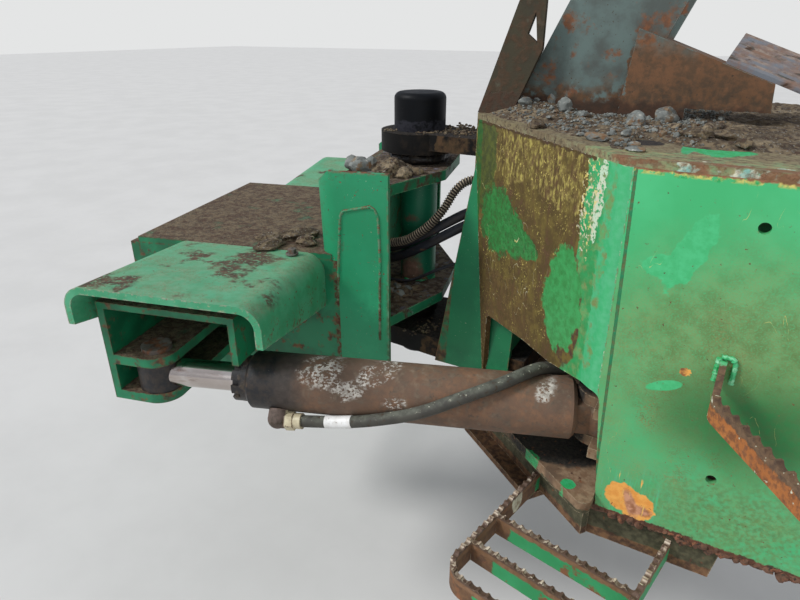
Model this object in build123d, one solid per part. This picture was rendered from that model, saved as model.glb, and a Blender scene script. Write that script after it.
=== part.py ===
from build123d import *

import os
from math import atan2, cos, degrees, hypot, radians, sin, tan

# Articulation joint of a site dumper: the nose of the rear frame with its two
# hinge ears, the front frame's pivot head, and the steering ram between them.
# Millimetres. The pieces are drawn about the steering axis (X forward, Y left,
# Z up, Z = 0 at the deck's top) and are then moved to the mounting face.

# Place of the steering axis from the mounting face's centre
PIVOT_AHEAD = 800.0
# The front frame stands turned to the left by this much at rest, in degrees
STEER_AT_REST = 15.0

# Rear frame: a folded skin on each side, closed by a deck and a bottom plate
FRAME_WIDTH = 710.0
FRAME_HEIGHT = 540.0
SKIN_T = 10.0
DECK_T = 10.0
NOSE_START = -476.0
NOSE_TIP = -153.0
NOSE_TIP_HALF = 60.0
SKIN_BEND = 20.0
# The skin is two sheets, joined this far behind the fold
SEAM_BEHIND_FOLD = 10.0
BULKHEAD_T = 20.0
BULKHEAD_OPENING_W = 320.0
BULKHEAD_OPENING_H = 180.0
BULKHEAD_OPENING_RISE = 140.0
BULKHEAD_CORNER = 45.0
PANEL_HOLE_R = 7.0
# Panel holes: x, z
PANEL_HOLES = [(-637.0, -64.0), (-651.0, -422.0)]
BOTTOM_RISE = 30.0
BOTTOM_T = 20.0
BOTTOM_FRONT = -200.0
# The bottom's lip stands out past the nose; its edge runs at this angle in plan
LIP_FRONT_Y = 173.0
LIP_ANGLE = 37.0
LIP_CORNER = 14.0
SKIRT_HEIGHT = 72.0
SKIRT_T = 12.0
SKIRT_INSET = 30.0
SKIRT_FOOT_RUN = 236.0
SKIRT_END_GAP = 38.0

# Hinge ears and pin
PIN_R = 25.0
PIN_FIT = 0.08
FACE_GAP = 0.4
EAR_TOP = -48.0
EAR_RING_R = 80.0
EAR_RING_T = 40.0
EAR_ARM_T = 31.0
EAR_ARM_BACK = -330.0
LOWER_EAR_RISE = 75.0
LOWER_EAR_T = 45.0
LOWER_EAR_R = 98.0
LOWER_EAR_BACK = -300.0
CAP_R = 53.0
CAP_HEIGHT = 74.0
CAP_ROUND = 13.0
LOWER_CAP_R = 44.0
LOWER_CAP_HEIGHT = 50.0
LOWER_CAP_ROUND = 22.0
# Thrust rings between the upper ear and the head: radius, thickness
THRUST_RINGS = [(50.0, 16.0), (56.0, 7.6)]

# Spine between the ears: a channel that widens downwards
SPINE_T = 12.0
SPINE_BACK = -270.0
SPINE_TOP_HALF = 62.0
SPINE_FOOT_HALF = 118.0
SPINE_TOP_FRONT = -158.0
SPINE_FOOT_FRONT = -107.0

# Front frame, in its own axes before it is turned
HEAD_TOP = -112.0
HEAD_PLATE_T = 20.0
HEAD_LOW_RISE = 91.0
HEAD_CORNER = (-73.0, 82.0)
HEAD_ROUND = 18.0
TUBE_R = 39.0
TUBE_BORE_GAP = 3.0
HOUSING_R = 50.0
HOUSING_STEP = 7.0
HOUSING_STEP_H = 16.0
COLUMN_FACE = 243.0
COLUMN_FLAT = 101.0
COLUMN_TOP_W = 147.0
COLUMN_FOOT_W = 128.0
COLUMN_INNER = 183.0
COLUMN_T = 12.0
COLUMN_TOP = -91.0
COLUMN_BELOW = 20.0
# Cut at the column's top front corner: along it, down it
COLUMN_CHAMFER = (34.0, 27.0)
WEB_T = 12.0
CHASSIS_T = 12.0
CHASSIS_TOP = -250.0
CHASSIS_END = 540.0
END_PLATE_T = 20.0
END_OPENING_W = 280.0
END_OPENING_H = 180.0
END_OPENING_CORNER = 40.0
BEAM_T = 12.0
BEAM_BEND = 38.0
BEAM_FRONT = 460.0
# Outrigger's root and tip: y, back face, top, foot of its legs
BEAM_ROOT = (COLUMN_FACE, 129.0, -250.0, -359.0)
BEAM_TIP = (540.0, 111.0, -230.0, -298.0)

# Steering ram, along its own axis from the tail pin
RAM_OVER_EAR = 51.0
TAIL_X = -483.0
TAIL_INSIDE_SKIN = 79.6
ROD_PIN = (361.0, 465.0)
RAM_TUBE_R = 50.0
RAM_BORE_R = 40.0
RAM_TUBE_START = 43.0
TUBE_END = 584.0
TUBE_CHAMFER = 6.0
GLAND_DEPTH = 45.0
GLAND_END = 610.0
GLAND_NOTCHES = 10
GLAND_NOTCH_W = 9.0
GLAND_NOTCH_H = 7.0
GLAND_NOTCH_L = 14.0
RAM_CAP_T = 18.0
ROD_R = 25.0
ROD_FIT = 0.1
ROD_LENGTH = 500.0
EYE_R = 38.0
EYE_W = 52.0
NECK_HALF = 32.0
EYE_PIN_R = 17.5
EYE_GAP = 0.5
LUG_T = 18.0
LUG_R = 40.0
LUG_WALL_CLEAR = 58.0
LUG_WALL_T = 14.0
PIN_HEAD_R = 26.0
PIN_HEAD_T = 8.0
TAIL_WALL_INSIDE = 60.0
TAIL_WALL_ABOVE = 40.0
# Box that carries the rod's lugs: back, top and foot of its back wall
ROD_BOX_BACK = 178.0
ROD_BOX_TOP = -270.0
ROD_BOX_FOOT = -356.0
ROD_BOX_T = 12.0

# Opening that the ram passes through, in the nose plate: distance from its tip,
# height over the ram's axis
OPENING_EDGE = [(90.0, 42.0), (235.0, 59.0), (320.0, 63.0), (410.0, 80.0)]
OPENING_CORNER = 14.0
PANEL_CORNER = 16.0
# Side panel's front edge below the opening leans back by this share
PANEL_EDGE_TOP = -488.0
PANEL_EDGE_LEAN = 0.1

# Hoses: points of each route are chosen by hand, as x, y, z at rest
UNION_LENGTH = 14.0
CONDUIT_R = 9.5
CONDUIT_ROUTE = [
    (64.5, 99.4, -276.0),
    (30.0, 90.2, -276.0),
    (-16.0, 88.0, -265.0),
    (-51.0, 82.0, -240.0),
    (-79.0, 74.0, -212.0),
    (-97.0, 65.0, -183.0),
    (-108.0, 56.0, -156.0),
    (-124.0, 45.0, -136.0),
    (-148.0, 36.0, -128.0),
    (-188.0, 27.0, -126.0),
    (-238.0, 27.0, -126.0),
]
FRONT_HOSE_R = 10.0
LOWER_HOSE_ROUTE = [
    (72.1, 71.1, -322.0),
    (38.0, 62.0, -322.0),
    (-3.0, 60.0, -304.0),
    (-46.0, 57.0, -279.0),
    (-90.0, 49.0, -250.0),
    (-138.0, 36.0, -220.0),
    (-188.0, 28.0, -204.0),
    (-238.0, 28.0, -204.0),
]
UPPER_HOSE_RISE = 25.0
UPPER_HOSE_ROUTE = [(x, y, z + UPPER_HOSE_RISE) for x, y, z in LOWER_HOSE_ROUTE]
CABLE_R = 3.5
CABLE_ROUTE = [
    (68.5, 80.5, -366.0),
    (34.7, 71.4, -366.0),
    (-12.0, 65.0, -366.0),
    (-44.0, 60.0, -348.0),
    (-74.0, 54.0, -330.0),
    (-105.0, 46.0, -315.0),
    (-142.0, 36.0, -301.0),
    (-188.0, 30.0, -296.0),
    (-238.0, 30.0, -296.0),
]
RAM_HOSE_R = 10.25
# Where the ram's hose lies on the barrel: distance from the tail pin, degrees
# up, distance from the ram's axis
RAM_HOSE_TURNS = [
    (486.0, -48.0, 64.5),
    (452.0, -44.0, 63.0),
    (415.0, -38.0, 61.5),
    (378.0, -27.0, 61.0),
    (340.0, -14.0, 61.0),
    (304.0, -3.0, 61.0),
    (268.0, 11.0, 61.0),
    (238.0, 25.0, 61.0),
    (208.0, 38.0, 61.0),
    (178.0, 51.0, 61.2),
    (151.0, 65.0, 61.3),
    (127.0, 81.0, 61.4),
    (107.0, 99.0, 61.2),
    (90.0, 118.0, 61.0),
    (68.0, 132.0, 61.0),
]
RAM_HOSE_INSIDE = [
    (-430.0, 246.0, -367.0),
    (-462.0, 234.0, -358.0),
    (-498.0, 231.0, -350.0),
    (-527.0, 231.0, -350.0),
]
PORT_ALONG = 530.0
PORT_TURN = -48.0
PORT_OUT = 64.5
PORT_R = 17.0
FERRULE_R = 13.4
FERRULE_LENGTH = 44.0
HOSE_NUT_R = 16.5
HOSE_NUT_LENGTH = 15.0

# Plate that the hoses end in
DIAPHRAGM_X = -262.0
PLATE_T = 10.0

# Steps: flat bars on edge, toothed along their tops
STEP_BAR_T = 8.0
NOTCH_SHARE = 0.42
NOTCH_RISE = 2.0
UPPER_STEP_TOP = -236.0
UPPER_STEP_H = 32.0
UPPER_STEP_PITCH = 18.0
# Upper step's bow from its front root to its back root: x, y past the panel
UPPER_STEP_ROUTE = [(-631.0, -10.0), (-628.0, 100.0), (-722.0, 236.0), (-775.0, 236.0), (-775.0, -10.0)]
UPPER_STEP_BENDS = [30.0, 24.0, 24.0]
LOWER_STEP_BELOW = 20.0
LOWER_STEP_H = 40.0
LOWER_STEP_PITCH = 15.0
# Lower step: root of its front leg, its turn in plan and its reach both ways
LOWER_STEP_ROOT = (-389.0, 336.0)
LOWER_STEP_TURN = -11.3
LOWER_STEP_OUT = 224.0
LOWER_STEP_RUN = 227.0
LOWER_STEP_BARS = [86.0, 156.0]
LOWER_STEP_BEND = 34.0
STEP_ROOT_IN = 56.0
HANGER_T = 10.0
HANGER_FRONT = -492.0
HANGER_BACK = -690.0

# What stands on the deck: outlines by x and z, and their reach in y
CONSOLE_OUTLINE = [(-202.0, 0.0), (-292.0, 186.0), (-476.0, 186.0), (-398.0, 0.0)]
CONSOLE_Y = (-76.0, 20.0)
CONSOLE_T = 6.0
BRACKET_OUTLINE = [(-395.0, 0.0), (-412.0, 143.0), (-616.0, 67.0), (-619.0, 26.0), (-500.0, 26.0), (-500.0, 0.0)]
BRACKET_FLANGE = [(-412.0, 143.0), (-616.0, 67.0), (-616.0, 58.5), (-412.0, 134.5)]
BRACKET_FLANGE_Y = -20.0
BRACKET_Y = (32.0, 40.0)
STRUT_OUTLINE = [(-150.0, 0.0), (-216.0, 187.0), (-262.0, 187.0), (-262.0, 110.0), (-215.0, 0.0)]
STRUT_HOLE = [(-246.0, 168.0), (-252.0, 120.0), (-234.0, 134.0)]
STRUT_Y = (44.0, 54.0)
PAD_LENGTH = 119.0
PAD_START = -543.0
PAD_Y = (-75.0, 25.0)
PAD_LOW = 6.0
PAD_HIGH = 44.0
PAD_RIBS = 6
PAD_RIB_H = 3.0

# Worked out from the sizes above
HALF = FRAME_WIDTH / 2
BACK = -PIVOT_AHEAD
UNDER = -FRAME_HEIGHT
DECK_ABOVE = FRAME_HEIGHT / 2
BOTTOM_TOP = UNDER + BOTTOM_RISE
LOWER_EAR_TOP = UNDER + LOWER_EAR_RISE
LOWER_EAR_FOOT = LOWER_EAR_TOP - LOWER_EAR_T
HEAD_LOW_TOP = LOWER_EAR_TOP + HEAD_LOW_RISE
COLUMN_FOOT = UNDER - COLUMN_BELOW
RAM_Z = LOWER_EAR_TOP + RAM_OVER_EAR
TAIL = (TAIL_X, HALF - TAIL_INSIDE_SKIN)
NOSE_RUN = hypot(NOSE_START - NOSE_TIP, HALF - NOSE_TIP_HALF)
NOSE_ANGLE = degrees(atan2(HALF - NOSE_TIP_HALF, NOSE_TIP - NOSE_START))
OPENING_TOP = RAM_Z + OPENING_EDGE[-1][1]
LOWER_STEP_TOP = UNDER - LOWER_STEP_BELOW
LOWER_STEP_FOOT = LOWER_STEP_TOP - LOWER_STEP_H
STEP_SEAT = HALF - SKIN_T - 2
MIN_CORNER = (Align.MIN, Align.MIN, Align.MIN)
LOW_CENTRE = (Align.CENTER, Align.CENTER, Align.MIN)


def prism(points, bottom, top):
    """Upright solid on a closed outline of points, between two heights."""
    outline = Polyline(*points, close=True)
    return Pos(0, 0, bottom) * extrude(make_face(outline), top - bottom)


def block(x, y, z):
    """Box between pairs of limits."""
    corner = Pos(x[0], y[0], z[0])
    return corner * Box(x[1] - x[0], y[1] - y[0], z[1] - z[0], align=MIN_CORNER)


def disc(radius, bottom, top, at=(0.0, 0.0)):
    """Upright cylinder between two heights."""
    return Pos(at[0], at[1], bottom) * Cylinder(radius, top - bottom, align=LOW_CENTRE)


def mirrored(shape):
    """The same piece on the right-hand side."""
    return mirror(shape, about=Plane.XZ)


def vertical_edges(shape, x, y, reach=1.0):
    """Upright edges within a short reach of one place in plan."""
    found = []
    for edge in shape.edges().filter_by(Axis.Z):
        middle = edge.center()
        if hypot(middle.X - x, middle.Y - y) < reach:
            found.append(edge)
    return found


def on_side(points, y_inner, y_outer):
    """Plate that stands parallel to the X and Z axes, outlined by x and z."""
    face = make_face(Polyline(*points, close=True))
    plate = extrude(Plane.XZ * face, -(y_outer - y_inner))
    return Pos(0, y_inner, 0) * plate


# Rear frame

def frame_outline(inset):
    """Plan of the rear frame, inset all round, with its folded corners."""
    corner = (NOSE_START, HALF)
    # The tip is carried on past the centre line, where the ear's slot is cut out
    run_on = NOSE_TIP_HALF / (HALF - NOSE_TIP_HALF)
    point = (NOSE_TIP + (NOSE_TIP - NOSE_START) * run_on, 0.0)
    left = [(BACK - 100, HALF), corner, point]
    right = [(NOSE_START, -HALF), (BACK - 100, -HALF)]
    face = make_face(Polyline(*left, *right, close=True))
    bends = [v for v in face.vertices() if abs(v.X - NOSE_START) < 1]
    face = fillet(bends, SKIN_BEND)
    if inset:
        face = offset(face, -inset, kind=Kind.INTERSECTION)
    return face


def nose_cutter():
    """What is cut from the left nose plate below, for the ram to pass."""
    foot = UNDER - 20
    first = OPENING_EDGE[0][0]
    end = NOSE_RUN - SEAM_BEHIND_FOLD
    edge = [(run, RAM_Z + over) for run, over in OPENING_EDGE]
    points = [(first, foot), *edge, (end, OPENING_TOP), (end, foot)]
    face = make_face(Polyline(*points, close=True))
    inner = [v for v in face.vertices() if abs(v.Y - edge[0][1]) < 1]
    face = fillet(inner, OPENING_CORNER)
    away = Vector(-cos(radians(NOSE_ANGLE)), sin(radians(NOSE_ANGLE)), 0)
    along = Plane(origin=(NOSE_TIP, NOSE_TIP_HALF, 0), x_dir=away, z_dir=away.cross(Vector(0, 0, 1)))
    return extrude(along * face, 60, both=True)


def panel_edge(z):
    """Place of the side panel's lower front edge at one height."""
    return PANEL_EDGE_TOP - (OPENING_TOP - z) * PANEL_EDGE_LEAN


def panel_cutter():
    """What is cut from the side panel ahead of its lower front edge."""
    foot = UNDER - 20
    front = NOSE_START + 15
    points = [(front, OPENING_TOP), (PANEL_EDGE_TOP, OPENING_TOP), (panel_edge(foot), foot), (front, foot)]
    cutter = on_side(points, HALF - 60, HALF + 5)
    corner = []
    for edge in cutter.edges().filter_by(Axis.Y):
        if hypot(edge.center().X - PANEL_EDGE_TOP, edge.center().Z - OPENING_TOP) < 1:
            corner.append(edge)
    return fillet(corner, PANEL_CORNER)


def spine_envelope(side_wall):
    """The spine's outer form, or its inside when its walls are taken off."""
    top = EAR_TOP - EAR_ARM_T
    sections = []
    # Columns: height, half width, front
    for height, half, front in [
        (LOWER_EAR_FOOT, SPINE_FOOT_HALF, SPINE_FOOT_FRONT),
        (top, SPINE_TOP_HALF, SPINE_TOP_FRONT),
    ]:
        half = half - side_wall
        points = [(SPINE_BACK, -half), (front, -half), (front, half), (SPINE_BACK, half)]
        sections.append(Pos(0, 0, height) * make_face(Polyline(*points, close=True)))
    return loft(sections, ruled=True)


def frame_skin():
    """Left side of the frame: the flat panel and the folded nose plate."""
    sheet = frame_outline(0) - frame_outline(SKIN_T)
    skin = Pos(0, 0, UNDER) * extrude(sheet, FRAME_HEIGHT - DECK_T)
    skin = skin & block((BACK, 100), (NOSE_TIP_HALF, HALF + 1), (UNDER - 1, 1))
    skin = skin - nose_cutter() - panel_cutter() - spine_envelope(0)
    below_ear = block((BACK, NOSE_START + 100), (0, HALF - 60), (UNDER - 1, BOTTOM_TOP))
    return skin - below_ear


def side_panel():
    """Left side panel with its two bolt holes."""
    seam = NOSE_START - SEAM_BEHIND_FOLD
    panel = frame_skin() & block((BACK, seam), (0, HALF + 1), (UNDER - 1, 1))
    for x, z in PANEL_HOLES:
        panel = panel - Pos(x, HALF, z) * Rot(90, 0, 0) * Cylinder(PANEL_HOLE_R, 3 * SKIN_T)
    return panel


def nose_plate():
    """Left nose plate with its fold and the opening for the ram."""
    seam = NOSE_START - SEAM_BEHIND_FOLD
    return frame_skin() & block((seam, 0), (0, HALF + 1), (BOTTOM_TOP, 1))


def deck():
    """Deck plate over both skins."""
    plate = Pos(0, 0, -DECK_T) * extrude(frame_outline(0), DECK_T)
    return plate & block((BACK, NOSE_TIP), (-HALF - 1, HALF + 1), (-DECK_T - 1, 1))


def bulkhead():
    """Cross plate at the back of the section, open in its lower middle."""
    inner = HALF - SKIN_T
    plate = block((BACK, BACK + BULKHEAD_T), (-inner, inner), (UNDER, -DECK_T))
    gap = extrude(
        Plane.YZ * RectangleRounded(BULKHEAD_OPENING_W, BULKHEAD_OPENING_H, BULKHEAD_CORNER),
        BULKHEAD_T * 2,
        both=True,
    )
    return plate - Pos(BACK, 0, UNDER + BULKHEAD_OPENING_RISE) * gap


def lip_edge(x):
    """Distance of the lip's outer edge from the centre line."""
    return LIP_FRONT_Y + (BOTTOM_FRONT - x) * tan(radians(LIP_ANGLE))


def bottom_plate():
    """Bottom plate, with a lip that stands out past the nose."""
    inner = HALF - SKIN_T
    edge = panel_edge(BOTTOM_TOP) + FACE_GAP
    points = [
        (BACK + BULKHEAD_T, inner),
        (edge, inner),
        (edge, lip_edge(edge)),
        (BOTTOM_FRONT, LIP_FRONT_Y),
    ]
    points += [(x, -y) for x, y in reversed(points)]
    plate = prism(points, BOTTOM_TOP - BOTTOM_T, BOTTOM_TOP)
    corners = vertical_edges(plate, edge, lip_edge(edge)) + vertical_edges(plate, edge, -lip_edge(edge))
    return fillet(corners, LIP_CORNER)


def skirt_strip(inside, outside, bottom, top, run):
    """Straight strip below the lip, between two distances in from its edge."""
    ahead = Vector(-cos(radians(LIP_ANGLE)), sin(radians(LIP_ANGLE)))
    inward = Vector(-ahead.Y, ahead.X)
    start = Vector(BOTTOM_FRONT, LIP_FRONT_Y) + ahead * LIP_CORNER
    end = Vector(BOTTOM_FRONT, LIP_FRONT_Y) + ahead * run
    corners = [start + inward * outside, end + inward * outside, end + inward * inside, start + inward * inside]
    return prism([(p.X, p.Y) for p in corners], bottom, top)


def skirt_web():
    """Upright part of the skirt, from the lip down."""
    run = (BOTTOM_FRONT - panel_edge(BOTTOM_TOP)) / cos(radians(LIP_ANGLE))
    top = BOTTOM_TOP - BOTTOM_T
    return skirt_strip(SKIRT_INSET + SKIRT_T, SKIRT_INSET, top - SKIRT_HEIGHT, top, run - SKIRT_END_GAP)


def skirt():
    """Left plate below the lip, with a foot turned outwards."""
    foot = BOTTOM_TOP - BOTTOM_T - SKIRT_HEIGHT
    return skirt_web() + skirt_strip(SKIRT_INSET + SKIRT_T, 0, foot - SKIRT_T, foot, SKIRT_FOOT_RUN)


def nose_cap():
    """Small plate that closes the nose above the upper ear."""
    tip = NOSE_TIP_HALF - 0.3
    return block((NOSE_TIP - 12, NOSE_TIP), (-tip, tip), (EAR_TOP, -DECK_T))


def spine():
    """Left gusset between the ears; it widens downwards and forwards."""
    hollow = spine_envelope(0) - spine_envelope(SPINE_T)
    return hollow & block((SPINE_BACK, 0), (1, HALF), (UNDER, 0))


def diaphragm():
    """Plate across the spine that the front hoses are clamped in."""
    room = spine_envelope(SPINE_T + 0.1)
    top = EAR_TOP - EAR_ARM_T
    return room & block((DIAPHRAGM_X, DIAPHRAGM_X + PLATE_T), (-200, 200), (LOWER_EAR_TOP, top))


# Hinge ears, pin and caps, on the rear frame

def upper_ear():
    """Upper hinge ear: a thick ring on a flat arm."""
    ring = disc(EAR_RING_R, EAR_TOP - EAR_RING_T, EAR_TOP)
    half = NOSE_TIP_HALF - 0.3
    arm = block((EAR_ARM_BACK, 0), (-half, half), (EAR_TOP - EAR_ARM_T, EAR_TOP))
    ear = ring + arm
    return ear - disc(PIN_R + PIN_FIT, EAR_TOP - EAR_RING_T - 1, EAR_TOP + 1)


def lower_ear():
    """Lower hinge ear: a thick plate that widens between the gussets."""
    half = SPINE_FOOT_HALF - SPINE_T
    touch = radians(80)
    side = (LOWER_EAR_R * cos(touch), LOWER_EAR_R * sin(touch))
    points = [side, (SPINE_FOOT_FRONT, half), (LOWER_EAR_BACK, half)]
    points += [(x, -y) for x, y in reversed(points)]
    plate = prism(points, LOWER_EAR_FOOT, LOWER_EAR_TOP) + disc(LOWER_EAR_R, LOWER_EAR_FOOT, LOWER_EAR_TOP)
    gussets = spine() + mirrored(spine())
    return plate - gussets - disc(PIN_R + PIN_FIT, LOWER_EAR_FOOT - 1, LOWER_EAR_TOP + 1)


def pivot_pin():
    """Vertical pin through both ears and the head's tube."""
    return disc(PIN_R, LOWER_EAR_FOOT, EAR_TOP)


def top_cap():
    """Rubber cap over the pin's upper end."""
    cap = disc(CAP_R, EAR_TOP, EAR_TOP + CAP_HEIGHT)
    rim = cap.edges().filter_by(GeomType.CIRCLE).sort_by(Axis.Z)[-1]
    return fillet(rim, CAP_ROUND)


def lower_cap():
    """Grease cap under the lower ear."""
    cap = disc(LOWER_CAP_R, LOWER_EAR_FOOT - LOWER_CAP_HEIGHT, LOWER_EAR_FOOT)
    rim = cap.edges().filter_by(GeomType.CIRCLE).sort_by(Axis.Z)[0]
    return fillet(rim, LOWER_CAP_ROUND)


def thrust_ring():
    """Dark rings between the upper ear and the head."""
    top = EAR_TOP - EAR_RING_T
    rings = None
    for radius, thickness in THRUST_RINGS:
        ring = disc(radius, top - thickness, top)
        rings = rings + ring if rings else ring
        top = top - thickness
    return rings - disc(PIN_R + PIN_FIT, top - 1, EAR_TOP)


# Front frame

def column_section(z, start, inner, inset):
    """Plan of a column at one height, from its back and inner limits."""
    fall = (COLUMN_TOP - z) / (COLUMN_TOP - COLUMN_FOOT)
    width = COLUMN_TOP_W + (COLUMN_FOOT_W - COLUMN_TOP_W) * fall - inset
    outer = COLUMN_FACE - inset
    face = make_face(Polyline((start, inner), (start, outer), (width, outer), (width, inner), close=True))
    bend = [v for v in face.vertices() if v.X > start + 1 and v.Y > inner + 1]
    return Pos(0, 0, z) * fillet(bend, width - COLUMN_FLAT)


def column():
    """Left column: one plate bent forward and inward, open at its back."""
    whole = loft(
        [column_section(z, 0, COLUMN_INNER, 0) for z in (COLUMN_FOOT, COLUMN_TOP)],
        ruled=True,
    )
    room = loft(
        [column_section(z, -1, COLUMN_INNER - 1, COLUMN_T) for z in (COLUMN_FOOT - 1, COLUMN_TOP + 1)],
        ruled=True,
    )
    length, drop = COLUMN_CHAMFER
    front = COLUMN_TOP_W + 1
    cut = on_side(
        [(COLUMN_TOP_W - length, COLUMN_TOP + 1), (front, COLUMN_TOP + 1), (front, COLUMN_TOP - drop)],
        COLUMN_INNER - 2,
        COLUMN_FACE + 2,
    )
    return whole - room - cut


def head_plate(top):
    """Pivot head plate between the columns, blunt about the pin."""
    inner = COLUMN_FACE - COLUMN_T
    points = [HEAD_CORNER, (0.0, inner), (COLUMN_FLAT, inner)]
    points += [(x, -y) for x, y in reversed(points)]
    plate = prism(points, top - HEAD_PLATE_T, top)
    corners = vertical_edges(plate, *HEAD_CORNER) + vertical_edges(plate, HEAD_CORNER[0], -HEAD_CORNER[1])
    plate = fillet(corners, HEAD_ROUND)
    return plate - disc(PIN_R + PIN_FIT, top - HEAD_PLATE_T - 1, top + 1)


def pivot_tube():
    """Tube between the head plates, round the pin."""
    tube = disc(TUBE_R, HEAD_LOW_TOP, HEAD_TOP - HEAD_PLATE_T)
    return tube - disc(PIN_R + TUBE_BORE_GAP, HEAD_LOW_TOP - 1, HEAD_TOP)


def bearing_housing():
    """Lower bearing housing between the head and the lower ear."""
    top = HEAD_LOW_TOP - HEAD_PLATE_T
    foot = LOWER_EAR_TOP + FACE_GAP
    body = disc(HOUSING_R, foot + HOUSING_STEP_H, top)
    body = body + disc(HOUSING_R - HOUSING_STEP, foot, foot + HOUSING_STEP_H)
    return body - disc(PIN_R + PIN_FIT, foot - 1, top + 1)


def head_back():
    """Upright plate between the columns and the head plates."""
    inner = COLUMN_FACE - COLUMN_T
    heights = (HEAD_LOW_TOP - HEAD_PLATE_T, HEAD_TOP)
    plate = block((COLUMN_FLAT, COLUMN_FLAT + WEB_T), (-inner, inner), heights)
    return plate - column() - mirrored(column())


def chassis_side():
    """Left side plate of the front chassis, ahead of the column's bend."""
    y = (COLUMN_FACE - CHASSIS_T, COLUMN_FACE)
    plate = block((COLUMN_FLAT, CHASSIS_END), y, (COLUMN_FOOT, CHASSIS_TOP - CHASSIS_T))
    return plate - column()


def end_plate():
    """Cross plate at the front end of the section."""
    heights = (COLUMN_FOOT, CHASSIS_TOP - CHASSIS_T)
    plate = block((CHASSIS_END, CHASSIS_END + END_PLATE_T), (-COLUMN_FACE, COLUMN_FACE), heights)
    gap = extrude(
        Plane.YZ * RectangleRounded(END_OPENING_W, END_OPENING_H, END_OPENING_CORNER),
        END_PLATE_T * 2,
        both=True,
    )
    return plate - Pos(CHASSIS_END, 0, sum(heights) / 2) * gap


def beam_form(inset, past):
    """The outrigger's outer form, or the room inside it when inset."""
    sections = []
    for y in (BEAM_ROOT[0] - past, BEAM_TIP[0] + past):
        share = (y - BEAM_ROOT[0]) / (BEAM_TIP[0] - BEAM_ROOT[0])
        back, top, foot = [a + (b - a) * share for a, b in zip(BEAM_ROOT[1:], BEAM_TIP[1:])]
        back = back + inset
        front = BEAM_FRONT - inset
        top = top - inset
        face = make_face(Polyline((back, foot - past), (back, top), (front, top), (front, foot - past), close=True))
        bends = [v for v in face.vertices() if v.Y > top - 1]
        face = fillet(bends, BEAM_BEND - inset)
        sections.append(Pos(0, y, 0) * (Plane.XZ * face))
    return loft(sections, ruled=True)


def beam():
    """Left outrigger: a tapered plate folded down at the back and the front."""
    return beam_form(0, 0) - beam_form(BEAM_T, 1)


def chassis_deck():
    """Plate between the chassis sides, level with the outriggers."""
    start = COLUMN_FLAT + WEB_T
    heights = (CHASSIS_TOP - CHASSIS_T, CHASSIS_TOP)
    plate = block((start, CHASSIS_END), (-COLUMN_FACE, COLUMN_FACE), heights)
    return plate - column() - mirrored(column())


def lug_heights():
    """Bottoms of the upper and the lower lug beside a ram's eye."""
    reach = EYE_W / 2 + EYE_GAP
    return RAM_Z + reach, RAM_Z - reach - LUG_T


def ram_bracket():
    """Box on the chassis side that carries the lugs of the ram's rod."""
    inner = COLUMN_FACE
    outer = ROD_PIN[1] + LUG_R
    wall = ROD_PIN[0] + LUG_WALL_CLEAR
    top_lug, low_lug = lug_heights()
    under = ROD_BOX_TOP - ROD_BOX_T
    bracket = block((ROD_BOX_BACK, ROD_BOX_BACK + ROD_BOX_T), (inner, outer), (ROD_BOX_FOOT, under))
    bracket = bracket + block((ROD_BOX_BACK, wall + LUG_WALL_T), (inner, outer), (under, ROD_BOX_TOP))
    bracket = bracket + block((wall, wall + LUG_WALL_T), (inner, outer), (low_lug, under))
    for bottom in (top_lug, low_lug):
        heights = (bottom, bottom + LUG_T)
        bracket = bracket + block((ROD_PIN[0], wall), (inner, outer), heights)
        bracket = bracket + block((ROD_PIN[0] - LUG_R, wall), (inner, ROD_PIN[1]), heights)
        bracket = bracket + disc(LUG_R, *heights, ROD_PIN)
    return bracket - disc(EYE_PIN_R + PIN_FIT, low_lug - 1, top_lug + LUG_T + 1, ROD_PIN)


def rod_pin_ends():
    """The two ends of the rod's pin, each in its lug with its head."""
    top_lug, low_lug = lug_heights()
    upper = disc(EYE_PIN_R, top_lug, top_lug + LUG_T, ROD_PIN)
    upper = upper + disc(PIN_HEAD_R, top_lug + LUG_T, top_lug + LUG_T + PIN_HEAD_T, ROD_PIN)
    lower = disc(EYE_PIN_R, low_lug, low_lug + LUG_T, ROD_PIN)
    lower = lower + disc(PIN_HEAD_R, low_lug - PIN_HEAD_T, low_lug, ROD_PIN)
    return [upper, lower]


# Steering ram, drawn along X from the tail pin and then laid in its place

TURN = radians(STEER_AT_REST)
ROD_PIN_AT = (
    ROD_PIN[0] * cos(TURN) - ROD_PIN[1] * sin(TURN),
    ROD_PIN[0] * sin(TURN) + ROD_PIN[1] * cos(TURN),
)
PIN_TO_PIN = hypot(ROD_PIN_AT[0] - TAIL[0], ROD_PIN_AT[1] - TAIL[1])
RAM_LEAN = degrees(atan2(ROD_PIN_AT[1] - TAIL[1], ROD_PIN_AT[0] - TAIL[0]))


def in_ram(shape):
    """Lay a piece drawn along the ram's axis in its place."""
    return Pos(TAIL[0], TAIL[1], RAM_Z) * Rot(0, 0, RAM_LEAN) * shape


def along(radius, start, end):
    """Round bar on the ram's axis between two distances from the tail pin."""
    return Pos(start, 0, 0) * Rot(0, 90, 0) * Cylinder(radius, end - start, align=LOW_CENTRE)


def ram_tube():
    """Barrel of the ram, closed at the tail by its cap and eye."""
    tube = along(RAM_TUBE_R, RAM_TUBE_START, TUBE_END)
    rims = tube.edges().filter_by(GeomType.CIRCLE)
    tube = chamfer(rims, TUBE_CHAMFER)
    tube = tube - along(RAM_BORE_R, RAM_TUBE_START + RAM_CAP_T, TUBE_END + 1)
    eye = disc(EYE_R, -EYE_W / 2, EYE_W / 2)
    neck = block((0, RAM_TUBE_START + 2), (-NECK_HALF, NECK_HALF), (-EYE_W / 2, EYE_W / 2))
    tube = tube + eye + neck
    return tube - disc(EYE_PIN_R + PIN_FIT, -EYE_W, EYE_W)


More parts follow.
